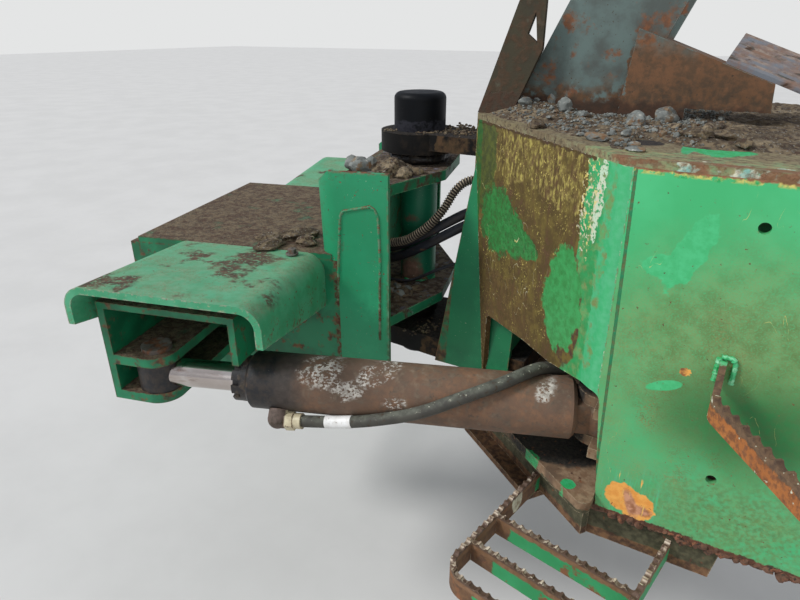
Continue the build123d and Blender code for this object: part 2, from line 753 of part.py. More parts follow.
def gland():
    """Plug in the barrel's mouth, with a castellated ring ahead of it."""
    ring = along(RAM_BORE_R, TUBE_END - GLAND_DEPTH, GLAND_END)
    for i in range(GLAND_NOTCHES):
        notch = block(
            (GLAND_END - GLAND_NOTCH_L, GLAND_END + 1),
            (-GLAND_NOTCH_W / 2, GLAND_NOTCH_W / 2),
            (RAM_BORE_R - GLAND_NOTCH_H, RAM_BORE_R + 5),
        )
        ring = ring - Rot(i * 360 / GLAND_NOTCHES, 0, 0) * notch
    return ring - along(ROD_R + ROD_FIT, TUBE_END - GLAND_DEPTH - 1, GLAND_END + 1)


def rod():
    """Chromed rod, from inside the barrel to its eye."""
    bar = along(ROD_R, PIN_TO_PIN - ROD_LENGTH, PIN_TO_PIN)
    eye = disc(EYE_R, -EYE_W / 2, EYE_W / 2, (PIN_TO_PIN, 0))
    return bar - eye


def rod_eye():
    """Eye at the front of the rod."""
    eye = disc(EYE_R, -EYE_W / 2, EYE_W / 2, (PIN_TO_PIN, 0))
    return eye - disc(EYE_PIN_R, -EYE_W, EYE_W, (PIN_TO_PIN, 0))


def rod_pin_middle():
    """Middle of the rod's pin, which stays in the eye."""
    return disc(EYE_PIN_R, -EYE_W / 2, EYE_W / 2, (PIN_TO_PIN, 0))


def tail_bracket():
    """Lugs inside the nose that hold the ram's tail."""
    top_lug, low_lug = lug_heights()
    inner = HALF - SKIN_T
    back = TAIL[0] - LUG_WALL_CLEAR
    side = TAIL[1] - LUG_R
    bracket = block(
        (back - LUG_WALL_T, back),
        (side - TAIL_WALL_INSIDE, inner),
        (BOTTOM_TOP, top_lug + LUG_T + TAIL_WALL_ABOVE),
    )
    for bottom in (top_lug, low_lug):
        heights = (bottom, bottom + LUG_T)
        bracket = bracket + disc(LUG_R, *heights, TAIL)
        bracket = bracket + block((back, TAIL[0]), (side, inner), heights)
    return bracket - disc(EYE_PIN_R + PIN_FIT, low_lug - 1, top_lug + LUG_T + 1, TAIL)


def tail_pin():
    """Pin of the ram's tail, with a head above its upper lug."""
    top_lug, low_lug = lug_heights()
    top = top_lug + LUG_T
    return disc(EYE_PIN_R, low_lug, top, TAIL) + disc(PIN_HEAD_R, top, top + PIN_HEAD_T, TAIL)


# Hoses

def cord_tube(points, radius):
    """Round tube along straight runs joined by arcs."""
    spots = [Vector(*point) for point in points]
    runs = [(b - a).length for a, b in zip(spots, spots[1:])]
    radii = []
    for i in range(1, len(spots) - 1):
        turn = (spots[i] - spots[i - 1]).get_angle(spots[i + 1] - spots[i])
        radii.append(0.45 * min(runs[i - 1], runs[i]) / tan(radians(turn / 2)))
    path = FilletPolyline(*spots, radius=radii)
    start = Plane(origin=spots[0], z_dir=spots[1] - spots[0])
    tube = sweep(start * Circle(radius), path=path)
    print(f"tube r {radius}: {path.length:.0f} long, arcs from {min(radii):.0f}")
    return tube


def ram_point(distance, turn, out):
    """Point beside the ram's axis, in the rear frame's axes."""
    lean = radians(RAM_LEAN)
    side = out * cos(radians(turn))
    x = TAIL[0] + distance * cos(lean) - side * sin(lean)
    y = TAIL[1] + distance * sin(lean) + side * cos(lean)
    return (x, y, RAM_Z + out * sin(radians(turn)))


def ram_hose():
    """Hose from the ram's front port, over its side and into the nose."""
    points = [ram_point(*turn) for turn in RAM_HOSE_TURNS]
    return cord_tube(points + RAM_HOSE_INSIDE, RAM_HOSE_R)


def ram_port():
    """Port on the barrel with its elbow, the hose's nut and its ferrule."""
    boss = ram_point(PORT_ALONG, PORT_TURN, RAM_TUBE_R - 1)
    elbow = ram_point(PORT_ALONG, PORT_TURN, PORT_OUT)
    first = ram_point(*RAM_HOSE_TURNS[0])
    second = ram_point(*RAM_HOSE_TURNS[1])
    out = Vector(*elbow) - Vector(*boss)
    back = (Vector(*first) - Vector(*second)).normalized()
    neck = Plane(origin=boss, z_dir=out) * Cylinder(PORT_R, out.length, align=LOW_CENTRE)
    knee = Pos(*elbow) * Sphere(PORT_R)
    seat = Plane(origin=Vector(*first) + back * FACE_GAP, z_dir=back)
    sleeve = seat * Cylinder(FERRULE_R, FERRULE_LENGTH, align=LOW_CENTRE)
    hexagon = extrude(RegularPolygon(HOSE_NUT_R, 6), HOSE_NUT_LENGTH)
    nut = seat * Pos(0, 0, FERRULE_LENGTH - HOSE_NUT_LENGTH - PORT_R + 2) * hexagon
    port = neck + knee + sleeve + nut
    return port - in_ram(along(RAM_TUBE_R + 0.05, 0, PIN_TO_PIN))


def hose_unions(sites, direction, radius_gain):
    """Short unions that the ends of hoses stand in."""
    unions = []
    for point, radius in sites:
        seat = Vector(*point) + Vector(*direction) * FACE_GAP
        base = Plane(origin=seat, z_dir=direction)
        unions.append(base * Cylinder(radius + radius_gain, UNION_LENGTH - FACE_GAP, align=LOW_CENTRE))
    return unions


def front_cords():
    """Cords across the joint: name, route, radius."""
    return [
        ("loom_conduit", CONDUIT_ROUTE, CONDUIT_R),
        ("front_hose_lower", LOWER_HOSE_ROUTE, FRONT_HOSE_R),
        ("front_hose_upper", UPPER_HOSE_ROUTE, FRONT_HOSE_R),
        ("thin_cable", CABLE_ROUTE, CABLE_R),
    ]


def front_unions():
    """Unions on the head's back plate, drawn where they lie at rest."""
    ahead = (cos(TURN), sin(TURN), 0)
    unions = hose_unions([(route[0], radius) for _, route, radius in front_cords()], ahead, 1.0)
    plate = Rot(0, 0, STEER_AT_REST) * head_back()
    return [union - plate for union in unions]


def rear_unions():
    """Unions on the diaphragm."""
    return hose_unions([(route[-1], radius) for _, route, radius in front_cords()], (-1, 0, 0), 1.0)


def tail_union():
    """Union on the tail bracket's wall for the ram's hose."""
    return hose_unions([(RAM_HOSE_INSIDE[-1], RAM_HOSE_R)], (-1, 0, 0), 3.0)[0]


# Steps on the left side

def bent_bar(points, radii, bottom, top, thickness=STEP_BAR_T):
    """Flat bar on edge, bent along a route in plan."""
    spots = [Vector(x, y, 0) for x, y in points]
    ways = [(b - a).normalized() for a, b in zip(spots, spots[1:])]
    sides = [Vector(-way.Y, way.X, 0) for way in ways]
    half = thickness / 2
    rails = {1: [], -1: []}
    corners = []
    for side, rail in rails.items():
        rail.append(spots[0] + sides[0] * (half * side))
        for i, spot in enumerate(spots[1:-1]):
            mitre = (sides[i] + sides[i + 1]).normalized()
            reach = half / mitre.dot(sides[i])
            rail.append(spot + mitre * (reach * side))
            turn = ways[i].cross(ways[i + 1]).Z
            outside = side * turn < 0
            corners.append((rail[-1], radii[i] + (half if outside else -half)))
        rail.append(spots[-1] + sides[-1] * (half * side))
    outline = rails[1] + rails[-1][::-1]
    face = make_face(Polyline(*[(v.X, v.Y) for v in outline], close=True))
    for place, radius in corners:
        near = [v for v in face.vertices() if hypot(v.X - place.X, v.Y - place.Y) < 0.01]
        face = fillet(near, radius)
    return Pos(0, 0, bottom) * extrude(face, top - bottom)


def notches(points, top, pitch):
    """Cutters for the rounded notches along the top of a bar."""
    cutters = []
    radius = pitch * NOTCH_SHARE
    for a, b in zip(points, points[1:]):
        start = Vector(a[0], a[1], top + NOTCH_RISE)
        run = Vector(b[0], b[1], top + NOTCH_RISE) - start
        count = int(run.length / pitch)
        first = (run.length - (count - 1) * pitch) / 2
        side = Vector(-run.Y, run.X, 0)
        for i in range(count):
            place = start + run.normalized() * (first + i * pitch)
            cutters.append(Plane(origin=place, z_dir=side) * Cylinder(radius, STEP_BAR_T * 2))
    return cutters


def upper_step():
    """Upper step: a bow of toothed flat bar on the side panel."""
    points = [(x, HALF + y) for x, y in UPPER_STEP_ROUTE]
    bottom = UPPER_STEP_TOP - UPPER_STEP_H
    bow = bent_bar(points, UPPER_STEP_BENDS, bottom, UPPER_STEP_TOP)
    bow = bow - block((BACK, TAIL_X), (0, HALF), (UNDER, 0))
    return bow - notches(points, UPPER_STEP_TOP, UPPER_STEP_PITCH)


def lower_step():
    """Lower step: a loop of toothed flat bar with two bars across it."""
    turn = radians(LOWER_STEP_TURN)
    outward = Vector(-sin(turn), cos(turn))
    back = Vector(-cos(turn), -sin(turn))
    root = Vector(*LOWER_STEP_ROOT)
    corner = root + outward * LOWER_STEP_OUT
    rear = back * LOWER_STEP_RUN
    route = [root - outward * STEP_ROOT_IN, corner, corner + rear, root - outward * STEP_ROOT_IN + rear]
    points = [(p.X, p.Y) for p in route]
    loop = bent_bar(points, [LOWER_STEP_BEND, LOWER_STEP_BEND], LOWER_STEP_FOOT, LOWER_STEP_TOP)
    cutters = notches(points, LOWER_STEP_TOP, LOWER_STEP_PITCH)
    for reach in LOWER_STEP_BARS:
        start = root + outward * reach
        ends = [(start.X, start.Y), (start.X + rear.X, start.Y + rear.Y)]
        loop = loop + bent_bar(ends, [], LOWER_STEP_FOOT, LOWER_STEP_TOP)
        cutters += notches(ends, LOWER_STEP_TOP, LOWER_STEP_PITCH)
    heights = (LOWER_STEP_FOOT - 1, LOWER_STEP_TOP + 1)
    behind_hanger = block((BACK, HANGER_FRONT), (0, STEP_SEAT), heights)
    inside_skirt = skirt_strip(HALF, SKIRT_INSET, *heights, LOWER_STEP_OUT * 1.6)
    return loop - behind_hanger - inside_skirt - cutters


def step_hanger():
    """Plate that hangs the lower step from the bottom of the frame."""
    top = BOTTOM_TOP - BOTTOM_T
    foot = LOWER_STEP_FOOT - 4
    points = [(HANGER_BACK, top), (HANGER_FRONT, top), (HANGER_FRONT, foot), (HANGER_BACK + 10, foot)]
    return on_side(points, STEP_SEAT - HANGER_T, STEP_SEAT) - skirt_web()


# What stands on the deck

def console_foot():
    """Foot of the driver's console: a box leaning back, open behind."""
    front_low, front_top, back_top, back_low = CONSOLE_OUTLINE
    wall = CONSOLE_T
    box = on_side(CONSOLE_OUTLINE, *CONSOLE_Y)
    # The room runs on below, above and behind, so only three walls are left
    lean = (front_top[0] - front_low[0]) / (front_top[1] - front_low[1])
    low = (front_low[0] - wall - lean * 10, -10.0)
    high = (front_top[0] - wall + lean * 10, front_top[1] + 10)
    room = [low, high, (back_top[0] - 50, high[1]), (back_low[0] - 50, low[1])]
    return box - on_side(room, CONSOLE_Y[0] + wall, CONSOLE_Y[1] - wall)


def deck_bracket():
    """Wedge-shaped bracket beside the console, with a flange for the pad."""
    plate = on_side(BRACKET_OUTLINE, *BRACKET_Y)
    flange = on_side(BRACKET_FLANGE, BRACKET_FLANGE_Y, BRACKET_Y[1]) - on_side(CONSOLE_OUTLINE, *CONSOLE_Y)
    return plate + flange


def pedal_pad():
    """Tread pad on the bracket's flange, ribbed along its length."""
    low_y, high_y = PAD_Y[1], PAD_Y[0]
    width = low_y - high_y
    points = [(0, 0), (0, PAD_LOW)]
    pitch = width / PAD_RIBS
    for i in range(PAD_RIBS):
        for share, rib in ((0.1, PAD_RIB_H), (0.6, PAD_RIB_H), (0.7, 0.0), (1.0, 0.0)):
            at = (i + share) * pitch
            points.append((at, PAD_LOW + (PAD_HIGH - PAD_LOW) * at / width + rib))
    points.append((width, 0))
    front, back = BRACKET_FLANGE[:2]
    slope = (front[1] - back[1]) / (front[0] - back[0])
    start = (PAD_START, low_y, front[1] + (PAD_START - front[0]) * slope)
    base = Plane(origin=start, x_dir=(0, -1, 0), z_dir=(-1, 0, -slope))
    return extrude(base * make_face(Polyline(*points, close=True)), PAD_LENGTH)


def deck_strut():
    """Leaning strut ahead of the console."""
    return on_side(STRUT_OUTLINE, *STRUT_Y) - on_side(STRUT_HOLE, STRUT_Y[0] - 1, STRUT_Y[1] + 1)


# Placing and writing

def in_rear(shape):
    """Move a rear piece to the mounting face's frame."""
    return Pos(PIVOT_AHEAD, 0, DECK_ABOVE) * shape


def in_front(shape):
    """Turn a front piece to its rest angle and move it as well."""
    return Pos(PIVOT_AHEAD, 0, DECK_ABOVE) * Rot(0, 0, STEER_AT_REST) * shape


def write(name, shape, place):
    """Write one node, made of one solid or of several apart."""
    if isinstance(shape, list):
        shape = Compound(children=[place(piece) for piece in shape])
    else:
        shape = place(shape)
    export_step(shape, f"parts/{name}.step")


def rear_nodes():
    panel = side_panel()
    plate = nose_plate()
    gusset = spine()
    flank = skirt()
    nodes = {
        "frame_bulkhead": bulkhead(),
        "side_panel_left": panel,
        "side_panel_right": mirrored(panel),
        "nose_plate_left": plate,
        "nose_plate_right": mirrored(plate),
        "frame_deck": deck(),
        "frame_bottom": bottom_plate(),
        "nose_cap": nose_cap(),
        "spine_left": gusset,
        "spine_right": mirrored(gusset),
        "spine_diaphragm": diaphragm(),
        "rear_hose_unions": rear_unions(),
        "tail_hose_union": tail_union(),
        "skirt_left": flank,
        "skirt_right": mirrored(flank),
        "upper_ear": upper_ear(),
        "lower_ear": lower_ear(),
        "pivot_pin": pivot_pin(),
        "top_cap": top_cap(),
        "lower_cap": lower_cap(),
        "thrust_ring": thrust_ring(),
        "ram_tail_bracket": tail_bracket(),
        "ram_tail_pin": tail_pin(),
        "upper_step": upper_step(),
        "lower_step": lower_step(),
        "step_hanger": step_hanger(),
        "console_foot": console_foot(),
        "deck_bracket": deck_bracket(),
        "pedal_pad": pedal_pad(),
        "deck_strut": deck_strut(),
    }
    for name, route, radius in front_cords():
        nodes[name] = cord_tube(route, radius)
    return nodes


def front_nodes():
    post = column()
    side = chassis_side()
    outrigger = beam()
    return {
        "head_plate_upper": head_plate(HEAD_TOP),
        "head_plate_lower": head_plate(HEAD_LOW_TOP),
        "pivot_tube": pivot_tube(),
        "bearing_housing": bearing_housing(),
        "head_back": head_back(),
        "column_left": post,
        "column_right": mirrored(post),
        "chassis_side_left": side,
        "chassis_side_right": mirrored(side),
        "chassis_deck": chassis_deck(),
        "chassis_end_plate": end_plate(),
        "outrigger_left": outrigger,
        "outrigger_right": mirrored(outrigger),
        "ram_bracket": ram_bracket(),
        "rod_pin_ends": rod_pin_ends(),
    }


def ram_nodes():
    return {
        "ram_tube": ram_tube(),
        "ram_gland": gland(),
        "ram_rod": rod(),
        "rod_eye": rod_eye(),
        "rod_pin_middle": rod_pin_middle(),
    }


def main():
    os.makedirs("parts", exist_ok=True)
    for name, shape in rear_nodes().items():
        write(name, shape, in_rear)
    for name, shape in front_nodes().items():
        write(name, shape, in_front)
    for name, shape in ram_nodes().items():
        write(name, in_ram(shape), in_rear)
    write("ram_port", ram_port(), in_rear)
    write("ram_hose", ram_hose(), in_rear)
    write("head_hose_unions", front_unions(), in_rear)


main()
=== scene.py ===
"""Looks of a site dumper's steering articulation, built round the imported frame.

The frame holds the steel. This adds its paint and wear, hoses, welds, bolts,
and the soil, stones and mud that lie on it.
"""
import math
import random

import bmesh
import bpy
from bpy.props import FloatProperty, FloatVectorProperty, IntProperty, PointerProperty
from mathutils import Euler, Matrix, Vector, noise


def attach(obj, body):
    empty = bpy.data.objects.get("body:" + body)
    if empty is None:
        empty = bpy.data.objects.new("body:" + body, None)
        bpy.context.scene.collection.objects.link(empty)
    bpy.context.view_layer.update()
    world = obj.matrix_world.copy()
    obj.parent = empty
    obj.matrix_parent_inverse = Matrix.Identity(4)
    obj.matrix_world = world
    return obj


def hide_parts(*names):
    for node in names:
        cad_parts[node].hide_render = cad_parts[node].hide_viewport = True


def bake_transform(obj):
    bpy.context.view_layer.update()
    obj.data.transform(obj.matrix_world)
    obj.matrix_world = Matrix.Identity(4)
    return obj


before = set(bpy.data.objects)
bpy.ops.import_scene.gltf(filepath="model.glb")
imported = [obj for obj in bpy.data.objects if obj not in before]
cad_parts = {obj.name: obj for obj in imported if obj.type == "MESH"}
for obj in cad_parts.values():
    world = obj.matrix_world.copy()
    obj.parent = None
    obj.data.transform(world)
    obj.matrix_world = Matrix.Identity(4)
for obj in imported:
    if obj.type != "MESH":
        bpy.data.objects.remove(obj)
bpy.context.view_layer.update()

bl_info = {
    "name": "Steering articulation",
    "version": (1, 0, 0),
    "blender": (4, 5, 0),
    "location": "View3D > Sidebar > Articulation",
    "description": "Paint, hoses, welds, soil and stones on a dumper's steering articulation",
    "category": "Object",
}

# Places in the frame, in metres: the steering axis at deck height, the ram, and the rear frame's outline
PIVOT = Vector((0.8, 0.0, 0.27))
FRONT_TURN = math.radians(15.0)
RAM_TAIL = Vector((0.317, 0.2754, -0.144))
RAM_LEAN = math.radians(20.5867)
RAM_WAY = (math.cos(RAM_LEAN), math.sin(RAM_LEAN), 0)
RAM_BACK = (-RAM_WAY[0], -RAM_WAY[1], 0)
RAM_START = RAM_TAIL.dot(Vector(RAM_WAY))
DECK = 0.27
PANEL_FOOT = -0.270
HALF_WIDTH = 0.355
SEAM_X = 0.314
NOSE_TIP = (0.647, 0.060)

# The camera, the directions of the two lamps and their apparent width in degrees
CAMERA_PLACE = (0.1952, 1.1304, 0.4155)
CAMERA_AIM = (0.455, -0.788, -0.415)
SENSOR_WIDTH = 36
SUN_WAY, SUN_WIDTH = (0.62, 0.52, 0.72), 14.0
FILL_STRENGTH, FILL_WAY, FILL_WIDTH = 0.5, (-0.5, 1.0, 0.5), 60.0
FLOOR_SIZE, FLOOR_MIDDLE = 30.0, 0.6
FLOOR_DARK, FLOOR_PALE = (206, 205, 202), (212, 211, 208)
SKY_LIGHT, SKY_SEEN = (232, 236, 244), (228, 229, 229)

# Routes of the cords from the steering axis, in millimetres, and the two ends of their bend across the joint
CONDUIT_ROUTE = [
    (64.5, 99.4, -276), (30, 90.2, -276), (-16, 88, -265), (-51, 82, -240), (-79, 74, -212), (-97, 65, -183),
    (-108, 56, -156), (-124, 45, -136), (-148, 36, -128), (-188, 27, -126), (-238, 27, -126),
]
HOSE_ROUTE = [
    (72.1, 71.1, -322), (38, 62, -322), (-3, 60, -304), (-46, 57, -279), (-90, 49, -250), (-138, 36, -220),
    (-188, 28, -204), (-238, 28, -204),
]
HOSE_RISE = 25
CABLE_ROUTE = [
    (68.5, 80.5, -366), (34.7, 71.4, -366), (-12, 65, -366), (-44, 60, -348), (-74, 54, -330), (-105, 46, -315),
    (-142, 36, -301), (-188, 30, -296), (-238, 30, -296),
]
JOINT_BEND = ((20, 80, -300), (-165, 30, -220))
# The ram's hose on the barrel: distance from the tail, degrees up, distance from the axis
RAM_HOSE_TURNS = [
    (486, -48, 64.5), (452, -44, 63), (415, -38, 61.5), (378, -27, 61), (340, -14, 61), (304, -3, 61),
    (268, 11, 61), (238, 25, 61), (208, 38, 61), (178, 51, 61.2), (151, 65, 61.3), (127, 81, 61.4),
    (107, 99, 61.2), (90, 118, 61), (68, 132, 61),
]
RAM_HOSE_INSIDE = [(-430, 246, -367), (-462, 234, -358), (-498, 231, -350), (-527, 231, -350)]
RAM_HOSE_BEND = ((70, 90, 50), (-498, 231, -350))
# Lengths along the routes, and the label's two ends on the ram's hose, in metres
CORD_LENGTHS = {
    "loom_conduit": 0.376, "front_hose_lower": 0.343, "front_hose_upper": 0.343, "thin_cable": 0.326,
    "ram_hose": 0.597,
}
LABEL_ENDS = (0.042, 0.090)
LABEL_THICK, LABEL_STEP, LABEL_SIDES = 0.0005, 0.002, 24
# Depth of the conduit's groove at the four points of a ridge; the same numbers set the painted shade in each ring
GROOVE = (0.0, 0.25, 1.0, 0.75)

# Welds and bolts, in millimetres from the steering axis: round the pivot tube, up the column, at the upper step
TUBE_WELD = [(36, -20), (20, 34), (-14, 37), (-38, 8), (-30, -25)]
TUBE_WELD_HEIGHTS = (-132, -374)
COLUMN_BEAD = [
    (104, -344), (98, -250), (92, -172), (86, -163), (68.5, -159), (34, -151), (25, -157), (19, -170),
    (16.5, -251), (18, -340), (18.9, -421),
]
COLUMN_BEAD_Y, COLUMN_BEAD_SIZE = 243, 0.8
STEP_WELDS = [
    [(-627, 357, -234), (-640, 358, -233), (-644, 358, -240), (-644, 358, -268)],
    [(-625, 358, -236), (-624, 358, -268)],
]
# A bead's step along its line by its radius, how its radius wanders, and how far it dips between ripples
BEAD_STEP, BEAD_SWELL, BEAD_DIP = 0.45, (0.8, 1.1), 0.86
WELD_SEED = 5
BOLT_TURN = math.radians(193)
BOLT_OUT = 38.5
BOLT_HEIGHTS = (-157, -353)
OUTRIGGER_BOLT = (181, 271, -245)

# Stones and clods on the deck, in metres: x, y, then half the width, depth and height
DECK_STONES = [
    (0.3235, 0.062, 0.022, 0.016, 0.017), (0.3585, 0.120, 0.020, 0.014, 0.014), (0.4903, 0.048, 0.013, 0.010, 0.013),
    (0.5234, 0.015, 0.010, 0.009, 0.012), (0.5955, 0.012, 0.016, 0.011, 0.011), (0.5587, -0.002, 0.013, 0.010, 0.010),
    (0.3227, 0.305, 0.014, 0.008, 0.004), (0.330, 0.278, 0.011, 0.008, 0.005), (0.386, 0.250, 0.018, 0.010, 0.007),
    (0.350, 0.225, 0.011, 0.008, 0.006), (0.600, -0.070, 0.014, 0.010, 0.012), (0.575, -0.095, 0.010, 0.009, 0.010),
    (0.452, 0.075, 0.012, 0.009, 0.007), (0.380, 0.010, 0.012, 0.009, 0.009), (0.560, 0.055, 0.011, 0.009, 0.008),
]
DECK_CLODS = [
    (0.250, 0.150, 0.030, 0.014, 0.009), (0.262, 0.205, 0.022, 0.013, 0.008), (0.4975, 0.175, 0.020, 0.013, 0.010),
    (0.225, 0.190, 0.024, 0.016, 0.009), (0.300, 0.130, 0.015, 0.011, 0.008), (0.205, 0.225, 0.014, 0.010, 0.006),
]
# The same on the head and the chassis, in millimetres from the steering axis: x, y, z, then half sizes
HEAD_CLODS = [
    (22, 144, -112, 40, 28, 22), (52, 122, -112, 24, 20, 15), (-8, 160, -112, 22, 18, 13), (38, 172, -112, 22, 16, 14),
    (8, 118, -112, 20, 16, 12), (74, 140, -112, 18, 16, 13), (-24, 128, -112, 15, 12, 9), (60, 160, -112, 16, 14, 12),
    (30, 100, -374, 26, 18, 12), (6, 120, -374, 22, 18, 10), (-20, 84, -374, 16, 12, 8), (16, 150, -374, 20, 14, 9),
]
HEAD_STONES = [
    (73, 176, -100, 22, 17, 17), (103, 136, -104, 15, 12, 13), (67, 127, -100, 15, 12, 11), (111, 60, -112, 13, 10, 9),
    (138, 40, -112, 11, 9, 8), (90, 158, -100, 12, 10, 9), (48, 190, -110, 11, 9, 8), (22, 104, -368, 12, 9, 9),
    (2, 100, -370, 11, 9, 7), (-14, 66, -374, 9, 7, 6), (10, 132, -370, 13, 10, 9), (30, 128, -368, 10, 8, 8),
]
CHASSIS_CLODS = [
    (212, 162, -250, 40, 26, 14), (244, 235, -250, 34, 22, 12), (184, 196, -250, 26, 20, 11),
    (262, 190, -250, 30, 20, 10),
]
# Grit on the ears: x, y, z, how far it spreads and how many
EAR_GRIT = [
    (-30, 34, -48, 14, 40), (-67, -10, -48, 18, 60), (-80, -60, -48, 22, 50), (-110, 10, -48, 20, 40),
    (40, 48, -48, 8, 16), (-53, 87, -465, 14, 24), (-61, 54, -465, 12, 24),
]
GRIT_SIZES = (1.6, 5)


def colour(red, green, blue):
    """Scene colour of a screen colour given from 0 to 255."""
    def straight(value):
        value = value / 255
        return value / 12.92 if value <= 0.04045 else ((value + 0.055) / 1.055) ** 2.4
    return (straight(red), straight(green), straight(blue), 1.0)


# Sizes and colours that can be changed

class PaintSettings(bpy.types.PropertyGroup):
    green: FloatVectorProperty(
        name="Green paint", description="Paint of the frames where it is clean",
        subtype="COLOR", size=4, min=0, max=1, default=colour(60, 178, 110))
    rust: FloatVectorProperty(
        name="Rust", description="Rust where paint has gone",
        subtype="COLOR", size=4, min=0, max=1, default=colour(128, 82, 52))
    soil: FloatVectorProperty(
        name="Soil", description="Dry soil on the deck and ledges",
        subtype="COLOR", size=4, min=0, max=1, default=colour(114, 99, 76))


class CordSettings(bpy.types.PropertyGroup):
    conduit_radius: FloatProperty(
        name="Conduit radius", description="Radius of the corrugated conduit over its ridges",
        unit="LENGTH", min=0.004, max=0.02, default=0.0095)
    ridge_pitch: FloatProperty(
        name="Ridge pitch", description="Distance from ridge to ridge on the conduit",
        unit="LENGTH", min=0.002, max=0.01, default=0.0056)
    groove: FloatProperty(
        name="Groove", description="Depth of the conduit's grooves",
        unit="LENGTH", min=0, max=0.005, default=0.0026)
    hose_radius: FloatProperty(
        name="Hose radius", description="Radius of the two hoses across the joint",
        unit="LENGTH", min=0.004, max=0.02, default=0.010)
    cable_radius: FloatProperty(
        name="Cable radius", description="Radius of the thin cable",
        unit="LENGTH", min=0.001, max=0.01, default=0.0035)
    ram_hose_radius: FloatProperty(
        name="Ram hose radius", description="Radius of the hose along the ram",
        unit="LENGTH", min=0.004, max=0.02, default=0.01025)


class DirtSettings(bpy.types.PropertyGroup):
    soil_depth: FloatProperty(
        name="Soil depth", description="Depth of the soil in the middle of the deck",
        unit="LENGTH", min=0, max=0.04, default=0.012)
    heap_height: FloatProperty(
        name="Heap height", description="Height of the heap towards the nose of the deck",
        unit="LENGTH", min=0, max=0.05, default=0.020)
    gravel: IntProperty(
        name="Gravel", description="Number of small stones on the deck",
        min=0, max=6000, default=3600)
    seed: IntProperty(
        name="Seed", description="Another number strews the stones another way",
        min=0, max=9999, default=11)


class WeldSettings(bpy.types.PropertyGroup):
    bead: FloatProperty(
        name="Bead radius", description="Radius of the weld beads",
        unit="LENGTH", min=0.001, max=0.01, default=0.004)
    bolt: FloatProperty(
        name="Bolt size", description="Width of the bolt heads across their corners",
        unit="LENGTH", min=0.005, max=0.04, default=0.017)


class StageSettings(bpy.types.PropertyGroup):
    floor_height: FloatProperty(
        name="Floor height", description="Height of the floor below the section's middle",
        unit="LENGTH", min=-3, max=0, default=-0.75)
    lens: FloatProperty(
        name="Lens", description="Focal length of the camera",
        min=10, max=200, default=27)
    sky: FloatProperty(
        name="Sky", description="Strength of the even light from all round",
        min=0, max=3, default=0.62)
    sun: FloatProperty(
        name="Sun", description="Strength of the lamp from above and ahead",
        min=0, max=10, default=2.2)


class ArticulationSettings(bpy.types.PropertyGroup):
    paint: PointerProperty(type=PaintSettings, name="Paint", description="Colours of paint, rust and soil")
    cords: PointerProperty(type=CordSettings, name="Cords", description="Hoses, conduit and cable")
    dirt: PointerProperty(type=DirtSettings, name="Dirt", description="Soil, stones and mud")
    welds: PointerProperty(type=WeldSettings, name="Welds", description="Welds and bolts")
    stage: PointerProperty(type=StageSettings, name="Stage", description="Camera, lamps and floor")


# Node trees

class Nodes:
    """Adds nodes to one tree and joins them."""

    def __init__(self, tree):
        self.tree = tree

    def put(self, socket, value):
        if isinstance(value, bpy.types.NodeSocket):
            self.tree.links.new(value, socket)
        else:
            socket.default_value = value

    def add(self, kind, values=(), **settings):
        node = self.tree.nodes.new(kind)
        for key, value in settings.items():
            setattr(node, key, value)
        for socket, value in dict(values).items():
            self.put(node.inputs[socket], value)
        return node

    def maths(self, operation, first, second=0.0):
        return self.add("ShaderNodeMath", {0: first, 1: second}, operation=operation).outputs[0]

    def vector(self, operation, first, second=(0, 0, 0)):
        node = self.add("ShaderNodeVectorMath", {0: first, 1: second}, operation=operation)
        return node.outputs["Value" if operation in ("LENGTH", "DOT_PRODUCT") else "Vector"]

    def blend(self, share, first, second):
        node = self.add("ShaderNodeMix", {0: share, 6: first, 7: second}, data_type="RGBA")
        return node.outputs[2]

    def between(self, share, first, second):
        return self.add("ShaderNodeMix", {0: share, 2: first, 3: second}, data_type="FLOAT").outputs[0]

    def step(self, value, low, high):
        """From 0 at low to 1 at high, with a soft start and end."""
        node = self.add("ShaderNodeMapRange", {0: value, 1: low, 2: high}, interpolation_type="SMOOTHSTEP")
        return node.outputs[0]

    def noise(self, place, scale, detail=4.0):
        values = {"Vector": place, "Scale": scale, "Detail": detail, "Roughness": 0.6}
        return self.add("ShaderNodeTexNoise", values).outputs[0]

    def place(self):
        return self.add("ShaderNodeTexCoord").outputs["Object"]


# Steps inside the effects: how sharp an edge wears, how far up a face looks, and where a scratch breaks off
SHARPNESS, LOOKS_UP, BREAKS = (0.02, 0.12), (0.25, 0.8), (0.52, 0.6)


def grain_effect(nodes, given):
    """Mottling: noise between two levels, stretched along an axis for streaks."""
    place = nodes.vector("MULTIPLY", nodes.place(), given["Stretch"])
    return nodes.step(nodes.noise(place, given["Scale"], 6.0), given["Low"], given["High"])


def ragged_step(nodes, out, middle, given):
    """A soft step at the middle, its place shifted by noise."""
    rough = nodes.maths("SUBTRACT", nodes.noise(nodes.place(), given["Grain"], 5.0), 0.5)
    out = nodes.maths("ADD", out, nodes.maths("MULTIPLY", rough, given["Ragged"]))
    low = nodes.maths("SUBTRACT", middle, given["Soft"])
    high = nodes.maths("ADD", middle, given["Soft"])
    return nodes.step(out, low, high)


def patch_effect(nodes, given):
    """A ragged spot of a given centre and half size."""
    apart = nodes.vector("SUBTRACT", nodes.place(), given["Centre"])
    turned = nodes.add(
        "ShaderNodeVectorRotate", {"Vector": apart, "Angle": given["Turn"]}, rotation_type="Y_AXIS").outputs[0]
    out = nodes.vector("LENGTH", nodes.vector("DIVIDE", turned, given["Size"]))
    return nodes.maths("SUBTRACT", 1.0, ragged_step(nodes, out, 1.0, given))


def slab_effect(nodes, given):
    """All beyond a plane, with a ragged border."""
    out = nodes.vector("DOT_PRODUCT", nodes.place(), given["Way"])
    return ragged_step(nodes, out, given["From"], given)


